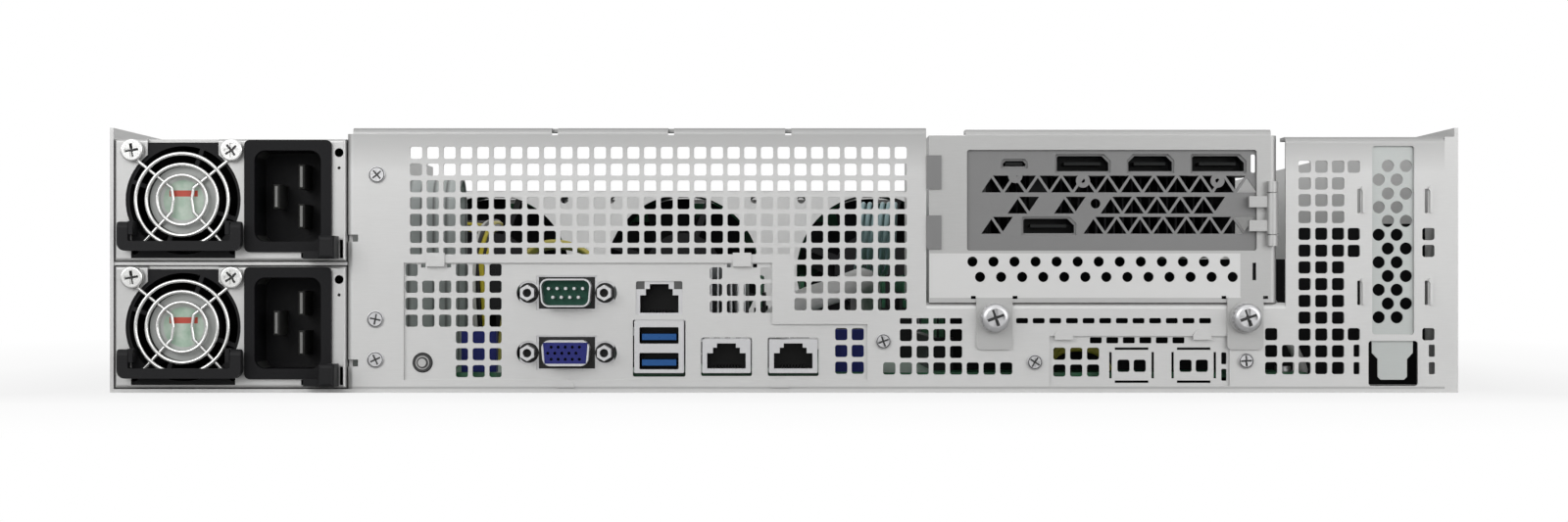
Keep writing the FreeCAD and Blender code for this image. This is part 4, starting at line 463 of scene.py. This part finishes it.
def button_finish():
    """Satin cap in a pale collar, with a dark ring round each."""
    s = moulded("button_cap", (0.58, 0.58, 0.57), 0.4)
    lo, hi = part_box("id_button")
    centre = ((lo.x + hi.x) / 2, (lo.z + hi.z) / 2)
    rim = (hi.x - lo.x) / 2
    rings = [s.ring(centre, 1.35 * MM, 1.85 * MM), s.ring(centre, rim - 0.75 * MM, rim + 0.1 * MM)]
    s.paint(s.any_of(rings), (0.07, 0.07, 0.07))
    return s


def memory_finish():
    """Green modules with a row of black chips along each."""
    s = circuit("memory_green", (0.010, 0.075, 0.035), "yz")
    lo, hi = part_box("memory_modules")
    row = s.inside((lo.x - SKIN, lo.y, lo.z + CHIP_Z[0]), (hi.x + SKIN, hi.y, lo.z + CHIP_Z[1]))
    first = lo.y + CHIP_START - 2 * CHIP_PITCH
    along = s.math("MODULO", s.math("SUBTRACT", s.depth(), first), CHIP_PITCH)
    s.paint(s.both(row, s.below(along, CHIP_LENGTH)), (0.015, 0.015, 0.016))
    return s


def card_finish():
    s = moulded("card_black", (0.012, 0.013, 0.013), 0.4)
    s.paint(s.below(s.depth(), REAR + CARD_EDGE), (0.30, 0.30, 0.30))
    return s


def board_finishes():
    dress("motherboard", circuit("mask_green"))
    dress("power_board", circuit("mask_green_up", along="xz"))
    dress("riser_board", circuit("mask_green_side", along="yz"))
    dress("backplane", circuit("mask_green_back", along="xz"))
    dress("board_parts", moulded("part_black", (0.02, 0.02, 0.021), 0.45))
    dress("gpu_board", card_finish())
    dress("gpu_cooler", moulded("cooler_black", (0.03, 0.03, 0.032), 0.36))
    dress("cpu_heatsinks", sheet_metal("fin_aluminium", (0.68, 0.69, 0.70), 0.35, 0.8, (3, 1, 12)))
    dress("memory_modules", memory_finish())
    dress("power_cable", moulded("lead_sleeve", (0.02, 0.02, 0.02), 0.6, 1400.0, 0.5))
    dress("id_button", button_finish())
    dress("power_button", moulded("button_grey", (0.55, 0.55, 0.54), 0.4))


def drive_finishes():
    for name in frame["nodes"]:
        if name.startswith("drive_") and name != "drive_cage":
            dress(name, moulded(name + "_black", (0.025, 0.025, 0.027), 0.42))


# ---- sockets; sizes in millimetres, depths from the rear face ----

# black plastic in the LAN mouths, painted shade in the USB mouths
SOCKET_BLACK_AND_SHADE = (0.006, 0.006, 0.006)
LED_GREY = (0.10, 0.10, 0.10)
USB_BLUE = (0.02, 0.09, 0.27)
SERIAL_GREEN = (0.014, 0.06, 0.04)
VGA_BLUE = (0.022, 0.026, 0.16)
FLANGE = (1.9, 2.35)           # depths between which a D connector's flange and insulator lie
POST = (12.5, 3.3)             # jack post: distance from the middle, radius of the gap round it
SHELL_GAP = (9.2, 5.2)         # half width and half height of the gap round a D shell
SERIAL_CORE = (7.7, 4.0)
SERIAL_DROP = 7.4              # top of the connector to the middle of its shell
VGA_Z = 13.0
VGA_CORE = (7.0, 3.45)
VGA_LEAN = 0.085
LAN_Z = 11.9
LAN_WIDTH = 15.8
LAN_MOUTH = (6.6, 4.6)
UPPER_LAN_Z = 31.0
UPPER_LAN_MOUTH = (6.6, 5.2)
LED_PLACE = (6.3, 35.2)        # from the jack's middle, height
LED = (1.5, 1.4)
USB_Z = (10.3, 18.7)
USB_MOUTH = (6.5, 2.8)
TONGUE = (5.62, 1.05)
TONGUE_DROP = 0.5
MOUTH_END = 30.0


def slab(s, centre, half, depths):
    """Mask of a box in millimetres: half width and half height round centre, between two depths."""
    x, z = centre[0], centre[1]
    return s.inside((x - half[0] * MM, REAR + depths[0] * MM, z - half[1] * MM),
                    (x + half[0] * MM, REAR + depths[1] * MM, z + half[1] * MM))


def shell_metal(name):
    return sheet_metal(name, SHELL_STEEL, 0.3, 0.7, (6, 6, 6))


def gap_shade(s, centre):
    """Dark gap round the shell and the jack posts of a D connector."""
    y = s.depth()
    deep = s.both(s.above(y, REAR + FLANGE[0] * MM), s.below(y, REAR + FLANGE[1] * MM))
    gaps = [slab(s, centre, SHELL_GAP, FLANGE)]
    for side in (-1, 1):
        post = (centre[0] + side * POST[0] * MM, centre[1])
        gaps.append(s.below(s.reach(post), POST[1] * MM))
    s.paint(s.both(deep, s.any_of(gaps)), (0.02, 0.02, 0.02))


def serial_finish():
    """Steel shell round a green insulator."""
    s = shell_metal("serial_shell")
    centre = (middle("serial_port").x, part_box("serial_port")[1].z - SERIAL_DROP * MM)
    gap_shade(s, centre)
    s.paint(slab(s, centre, SERIAL_CORE, FLANGE), SERIAL_GREEN)
    dress("serial_port", s)


def vga_finish():
    """Blue insulator with leaning sides inside a bright rim."""
    s = shell_metal("vga_shell")
    centre = (middle("vga_port").x, VGA_Z * MM)
    gap_shade(s, centre)
    x, y, z = s.split(s.away_from(centre))
    side = s.math("SUBTRACT", s.math("ABSOLUTE", x), s.math("MULTIPLY", z, VGA_LEAN))
    core = s.both(s.below(side, VGA_CORE[0] * MM), s.below(s.math("ABSOLUTE", z), VGA_CORE[1] * MM),
                  s.below(y, REAR + FLANGE[0] * MM))
    s.paint(core, VGA_BLUE)
    dress("vga_port", s)


def lan_finish():
    s = shell_metal("lan_jacks_shield")
    lo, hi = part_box("lan_jacks")
    for x in (lo.x + LAN_WIDTH / 2 * MM, hi.x - LAN_WIDTH / 2 * MM):
        s.paint(slab(s, (x, LAN_Z * MM), LAN_MOUTH, (0.9, MOUTH_END)), SOCKET_BLACK_AND_SHADE)
    dress("lan_jacks", s)


def usb_lan_finish():
    """Black plastic in the LAN mouths, painted shade in the USB mouths, grey lights on the LAN socket, blue
    tongues in the USB sockets.
    """
    s = shell_metal("usb_lan_jack_shield")
    x = middle("usb_lan_jack").x
    s.paint(slab(s, (x, UPPER_LAN_Z * MM), UPPER_LAN_MOUTH, (2.6, MOUTH_END)), SOCKET_BLACK_AND_SHADE)
    for side in (-1, 1):
        s.paint(slab(s, (x + side * LED_PLACE[0] * MM, LED_PLACE[1] * MM), LED, (1.9, 2.3)), LED_GREY)
    for z in USB_Z:
        # painted shade inside the USB mouth
        s.paint(slab(s, (x, z * MM), USB_MOUTH, (0.9, MOUTH_END)), SOCKET_BLACK_AND_SHADE)
        s.paint(slab(s, (x, (z - TONGUE_DROP) * MM), TONGUE, (1.1, 13.2)), USB_BLUE)
    dress("usb_lan_jack", s)


chassis_finishes()
supply_finishes()
board_finishes()
serial_finish()
vga_finish()
lan_finish()
usb_lan_finish()
drive_finishes()


# ================= forms for the pieces that only the scene holds =================

UPRIGHT = (0, 0, 1)


def keep(obj, shader, body="chassis"):
    obj.data.materials.append(shader.material)
    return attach(obj, body)


def placed(name, data):
    made = bpy.data.objects.new(name, data)
    bpy.context.scene.collection.objects.link(made)
    return made


def mesh_object(name, verts, faces):
    mesh = bpy.data.meshes.new(name)
    mesh.from_pydata([tuple(v) for v in verts], [], faces)
    mesh.update()
    return placed(name, mesh)


def disc_plate(name, centre, radius, y0, y1, sides=48):
    """Round plate that faces the rear."""
    angles = [2 * math.pi * i / sides for i in range(sides)]
    verts = [(centre.x + radius * math.cos(a), y, centre.z + radius * math.sin(a))
             for y in (y0, y1) for a in angles]
    faces = [tuple(range(sides)), tuple(reversed(range(sides, 2 * sides)))]
    faces += [(i, i + sides, (i + 1) % sides + sides, (i + 1) % sides) for i in range(sides)]
    return mesh_object(name, verts, faces)


def strip(name, path, across, width, thick):
    """Flat strip whose middle follows path; across points along its width."""
    verts = []
    faces = []
    across = Vector(across).normalized() * width / 2
    for i, point in enumerate(path):
        point = Vector(point)
        step = Vector(path[min(i + 1, len(path) - 1)]) - Vector(path[max(i - 1, 0)])
        up = step.cross(across).normalized() * thick / 2
        verts += [point - across - up, point + across - up, point + across + up, point - across + up]
    for i in range(len(path) - 1):
        a, b = 4 * i, 4 * i + 4
        faces += [(a + k, a + (k + 1) % 4, b + (k + 1) % 4, b + k) for k in range(4)]
    last = 4 * (len(path) - 1)
    faces += [(3, 2, 1, 0), (last, last + 1, last + 2, last + 3)]
    return mesh_object(name, verts, faces)


def lead(name, lines, radius):
    """Round leads along smooth lines through points."""
    data = bpy.data.curves.new(name, "CURVE")
    data.dimensions = "3D"
    data.bevel_depth = radius
    data.bevel_resolution = 3
    data.resolution_u = 10
    data.use_fill_caps = True
    for points in lines:
        line = data.splines.new("NURBS")
        line.points.add(len(points) - 1)
        for place, point in zip(line.points, points):
            place.co = (*point, 1)
        line.order_u = 4
        line.use_endpoint_u = True
    return placed(name, data)


def run(origin, *rows):
    """Points given in millimetres from origin."""
    return [tuple(start + step * MM for start, step in zip(origin, row)) for row in rows]


def bend(centre, radius, start, stop, count=10):
    """Points of an arc in the plane of Y and Z, angles in degrees."""
    angles = [math.radians(start + (stop - start) * i / count) for i in range(count + 1)]
    return [(centre[0], centre[1] + radius * math.cos(a), centre[2] + radius * math.sin(a)) for a in angles]


# ================= labels, leads and air parts =================

LABEL_PLATE_R = 7.6 * MM
LABEL_THICK = 0.15 * MM
CAP_R = 11.0 * MM
CAP_THICK = 0.08 * MM
LABEL_DEPTH = 1.0 * MM         # behind the rear face of the supply's case

BUNDLE_R = 3.5 * MM            # the solid power lead, as in the CAD
WIRE_R = 0.95 * MM
STRAND_R = 2.45 * MM           # from the bundle's middle to its outer wires
STRAND_TWIST = 0.55            # turn of the bundle between two points, in radians
STRAND_FLAT = 0.7
WIRE_COLOURS = {"yellow": (0.62, 0.52, 0.05), "black": (0.012, 0.012, 0.012), "white": (0.66, 0.66, 0.62)}
OUTER_WIRES = ("yellow", "black", "yellow", "black", "yellow", "black", "white", "black")
CORE_WIRE = "yellow"

LOOP_PITCH = 2.2
THIN_PITCH = 2.3
THIN_R = 0.8 * MM
DATA_LEAD_R = 4.4 * MM
RISER_LEAD_R = 1.8 * MM
RIBBON = (20 * MM, 1.2 * MM)
RIBBON_PITCH = 4.4 * MM
RIBBON_BEND_R = 11
SOCKET_THICK = 6 * MM
FILM_THICK = 0.5 * MM
FLOOR_TOP = 1.4                # just above the tray's sheet, in millimetres


def wire_plastic(name, colour):
    return moulded(name, colour, 0.4, 1500.0, 0.05)


def hub_labels():
    """Blank label and grey cap on the hub of each supply's fan."""
    for k in SUPPLIES:
        tag = "psu_%d_" % k
        body = "psu_%d" % k
        rotor = middle(tag + "fan_rotor")
        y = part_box(tag + "case")[0].y + LABEL_DEPTH
        label = disc_plate(tag + "hub_label", rotor, LABEL_PLATE_R, y - LABEL_THICK, y)
        keep(label, label_finish(tag + "hub_label_print", (rotor.x, rotor.z)), body)
        cap = disc_plate(tag + "hub_cap", rotor, CAP_R, y - CAP_THICK, y)
        keep(cap, sheet_metal(tag + "hub_cap_plate", (0.34, 0.35, 0.34), 0.4, 0.4), body)


def strand(line, angle, spread):
    """One wire of a twisted bundle that follows line."""
    points = []
    for k, (x, y, z) in enumerate(line):
        a = angle + STRAND_TWIST * k
        rise = spread * math.sin(a) * STRAND_FLAT
        points.append((x + spread * math.cos(a), y + rise, z + rise))
    return points


def power_wires():
    """The board's power lead as separate insulated wires, on the solid lead's own line."""
    lo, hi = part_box("power_cable")
    left, right = lo.x + BUNDLE_R, hi.x - BUNDLE_R
    plug, back = lo.y + BUNDLE_R, hi.y - BUNDLE_R
    top = hi.z - BUNDLE_R
    line = run((left, plug, top), (0, 68, 0))
    line += run((left, back, top), (0, -16, 0), (8, -4, 0), (16, 0, 0))
    line += run((right, back, top), (-16, 0, 0), (-8, -4, 0), (0, -16, 0))
    line += run((right, plug, top), (0, 40, 0), (0, 24, -4), (0, 9, -14), (0, 0, -26))
    line.append((right, plug, lo.z))
    strands = {colour: [] for colour in WIRE_COLOURS}
    for i, colour in enumerate(OUTER_WIRES):
        strands[colour].append(strand(line, 2 * math.pi * i / len(OUTER_WIRES), STRAND_R))
    strands[CORE_WIRE].append(strand(line, 0.0, 0.0))
    made = []
    for colour, lines in strands.items():
        for points in lines:
            points[-1] = (*points[-1][:2], lo.z)
        made.append(lead("power_wires_" + colour, lines, WIRE_R))
        keep(made[-1], wire_plastic("wire_" + colour, WIRE_COLOURS[colour]))
    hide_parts("power_cable")


def fan_wires():
    """Loop of wires beside the power lead: three yellow, one pale."""
    lo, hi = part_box("power_cable")
    loops = []
    for i in range(4):
        shift = i * LOOP_PITCH
        sag = shift / 3
        start = (hi.x - BUNDLE_R, lo.y + BUNDLE_R + shift * MM, 0)
        loops.append(run(start, (8, 0, BOARD), (10, 0, 34), (18, 0, 52 - sag), (34, 0, 53 - sag),
                         (48, 0, 46), (52, 0, 26), (52, 0, BOARD)))
    keep(lead("fan_wires_yellow", loops[:3], WIRE_R), wire_plastic("wire_yellow_2", (0.66, 0.58, 0.16)))
    keep(lead("fan_wires_pale", loops[3:], WIRE_R), wire_plastic("wire_cream", (0.66, 0.52, 0.36)))


def data_lead(white):
    line = run((0, REAR + 27 * MM, 0), (-12, 0, BOARD + 3), (-6, 0, 22), (4, 0, 30), (18, 0, 33),
               (27, 6, 38), (30, 30, 36), (30, 44, BOARD + 3))
    keep(lead("data_lead", [line], DATA_LEAD_R), white)


def sensor_wires():
    """Thin pale wires that rise to the vents and turn back."""
    lines = []
    for i in range(6):
        start = ((27 + i * THIN_PITCH) * MM, REAR, 0)
        lines.append(run(start, (0, 150, 40), (0, 110, 42), (0, 88, 50), (1, 86, 62), (2, 92, 67),
                         (3, 120, 60), (3, 150, 40)))
    keep(lead("sensor_wires", lines, THIN_R), wire_plastic("wire_teal", (0.42, 0.58, 0.60)))


def ribbon():
    """Grey flat lead that stands up behind the left vents and turns back down."""
    s = Shader("ribbon_grey", 0.45)
    stripe = s.math("FRACT", s.math("MULTIPLY", s.split(s.place)[0], 1 / RIBBON_PITCH))
    s.colour(s.ramp(stripe, (0.0, (0.22, 0.23, 0.23)), (0.25, (0.66, 0.70, 0.69)), (0.85, (0.58, 0.62, 0.61)),
                    (1.0, (0.16, 0.16, 0.16))))
    start = Vector((PANEL_LEFT + 18.5 * MM, REAR + 66 * MM, 0))
    across = 2 * RIBBON_BEND_R
    path = run(start, (0, 0, BOARD), (0, 0, 40), (0, 0, 62))
    path += bend(start + Vector((0, RIBBON_BEND_R, 62)) * MM, RIBBON_BEND_R * MM, 180, 0)
    path += run(start, (0, across, 50), (0, across, BOARD))
    width, thick = RIBBON
    keep(strip("front_panel_ribbon", path, (1, 0, 0), width, thick), s)


def blue_sockets():
    """Two upright board sockets that show through the lower vents."""
    blue = moulded("socket_blue", (0.035, 0.045, 0.24), 0.4)
    for name, x0, x1, top in (("sas_socket", 16.5, 27.0, 20.5), ("header_socket", -107.0, -95.5, 20.0)):
        half_way = (BOARD + top) / 2
        path = run((0, REAR, 0), (x0, 17, half_way), (x1, 17, half_way))
        keep(strip(name, path, UPRIGHT, top * MM - BOARD_TOP, SOCKET_THICK), blue)


def blank_wires():
    """Two short yellow wires behind the network blank."""
    lines = [run((0, REAR, 0), (88, 24, BOARD), (90, 24, 13 + rise), (100, 24, 15 + rise), (108, 26, 12),
                 (110, 30, BOARD)) for rise in (0, 2)]
    keep(lead("blank_wires", lines, WIRE_R), wire_plastic("wire_yellow_3", (0.62, 0.58, 0.10)))


def riser_lead(white):
    line = run((0, REAR, 0), (158, 16, 36), (162, 16, 30), (167, 17, 20), (173, 20, 8), (174, 24, BOARD))
    keep(lead("riser_lead", [line], RISER_LEAD_R), white)


def shade_films():
    """Black film sheets past the riser and the slot: dark sheets placed as painted shade for the inside of
    the chassis.
    """
    film = moulded("shade_film_black", (0.008, 0.008, 0.009), 0.5, 300.0, 0.2)
    # dark sheets that stand in for shade inside the chassis
    for name, x0, x1, y, top in (("slot_shade_film", 174.0, 217.5, 34, 56.0),
                                 ("riser_shade_film", 52.0, 173.0, 36, 44.0)):
        half_way = (FLOOR_TOP + top) / 2
        path = run((0, REAR, 0), (x0, y, half_way), (x1, y, half_way))
        keep(strip(name, path, UPRIGHT, (top - FLOOR_TOP) * MM, FILM_THICK), film)


def air_filter():
    """Black foam on the front of the backplane's air slots."""
    lo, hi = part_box("backplane")
    path = run((lo.x, lo.y, 0), (1, 4, 56)) + run((hi.x, lo.y, 0), (-1, 4, 56))
    foam = moulded("filter_foam", (0.010, 0.010, 0.010), 0.9, 700.0, 0.9)
    keep(strip("air_filter", path, UPRIGHT, 44 * MM, 3.9 * MM), foam)


air_filter()
hub_labels()
power_wires()
fan_wires()
white_sleeve = moulded("lead_white", (0.74, 0.74, 0.73), 0.35, 1200.0, 0.1)
data_lead(white_sleeve)
sensor_wires()
ribbon()
blue_sockets()
blank_wires()
riser_lead(white_sleeve)
shade_films()


# ================= stage =================

FLOOR_HALF = 6.0
FLOOR_FADE = 4.0          # the glow is full this steeply away from the server, per metre
AMBIENT = 0.16
CAMERA_BACK = 0.850       # camera to rear panel
CAMERA_Z = 0.0339
CAMERA_LENS = 59.8
CAMERA_SHIFT = 0.0178


def grey(value):
    return (value, value, value)


def stage():
    """Pale floor whose glow, seen by the camera alone, fades to white away from the server."""
    corners = [(-FLOOR_HALF, -FLOOR_HALF, 0), (FLOOR_HALF, -FLOOR_HALF, 0),
               (FLOOR_HALF, FLOOR_HALF, 0), (-FLOOR_HALF, FLOOR_HALF, 0)]
    mesh = bpy.data.meshes.new("floor")
    mesh.from_pydata(corners, [], [(0, 1, 2, 3)])
    floor = placed("floor", mesh)
    s = Shader("floor_white", 0.9)
    s.colour(s.ramp(s.noise(3.0), (0.0, grey(0.84)), (1.0, grey(0.87))))
    from_middle = s.vector("SUBTRACT", s.place, (0, (REAR + FRONT) / 2, 0))
    past = s.vector("SUBTRACT", s.vector("ABSOLUTE", from_middle), (HALF_WIDTH, (FRONT - REAR) / 2, 0))
    x, y, z = s.split(past)
    away = s.math("MAXIMUM", s.math("MAXIMUM", x, y), 0.0)
    fade = s.ramp(s.math("MULTIPLY", away, FLOOR_FADE),
                  (0.0, grey(0.80)), (0.35, grey(0.93)), (1.0, grey(1.0)))
    seen = s.node("ShaderNodeLightPath").outputs["Is Camera Ray"]
    glow = s.node("ShaderNodeEmission")
    glow.inputs["Color"].default_value = (1, 1, 1, 1)
    mixer = s.node("ShaderNodeMixShader")
    s.wire(s.math("MULTIPLY", seen, fade), mixer.inputs[0])
    s.wire(s.surface.outputs[0], mixer.inputs[1])
    s.wire(glow.outputs[0], mixer.inputs[2])
    s.wire(mixer.outputs[0], s.tree.nodes["Material Output"].inputs["Surface"])
    floor.data.materials.append(s.material)


def world():
    """White to the camera and in reflections, dim as a light."""
    made = bpy.data.worlds.new("studio")
    bpy.context.scene.world = made
    made.use_nodes = True
    tree = made.node_tree
    ground = tree.nodes["Background"]
    ground.inputs["Color"].default_value = (1, 1, 1, 1)
    path = tree.nodes.new("ShaderNodeLightPath")
    seen = tree.nodes.new("ShaderNodeMath")
    seen.operation = "MAXIMUM"
    tree.links.new(path.outputs["Is Camera Ray"], seen.inputs[0])
    tree.links.new(path.outputs["Is Glossy Ray"], seen.inputs[1])
    level = tree.nodes.new("ShaderNodeMapRange")
    level.inputs["To Min"].default_value = AMBIENT
    level.inputs["To Max"].default_value = 1.0
    tree.links.new(seen.outputs[0], level.inputs["Value"])
    tree.links.new(level.outputs[0], ground.inputs["Strength"])


def camera():
    data = bpy.data.cameras.new("camera")
    data.lens = CAMERA_LENS
    data.sensor_width = 36.0
    data.shift_y = CAMERA_SHIFT
    data.clip_start = 0.01
    data.clip_end = 50.0
    made = placed("camera", data)
    made.location = (0.0, REAR - CAMERA_BACK, CAMERA_Z)
    made.rotation_euler = (math.radians(90), 0, 0)
    bpy.context.scene.camera = made


def lamp(name, place, target, size, watts):
    """Rectangular soft light that looks at target."""
    light = bpy.data.lights.new(name, "AREA")
    light.shape = "RECTANGLE"
    light.size, light.size_y = size
    light.energy = watts
    made = placed(name, light)
    made.location = place
    made.rotation_euler = (Vector(target) - Vector(place)).to_track_quat("-Z", "Y").to_euler()


stage()
world()
camera()
lamp("key", (-0.9, REAR - 1.5, 0.75), (0, REAR, 0.04), (1.6, 0.9), 14.0)
lamp("fill", (1.1, REAR - 1.4, 0.45), (0, REAR, 0.04), (1.4, 0.9), 8.5)
lamp("top", (0.0, REAR - 0.5, 1.3), (0, REAR, 0.05), (1.6, 0.5), 2.0)

bpy.context.scene.view_settings.view_transform = "Standard"
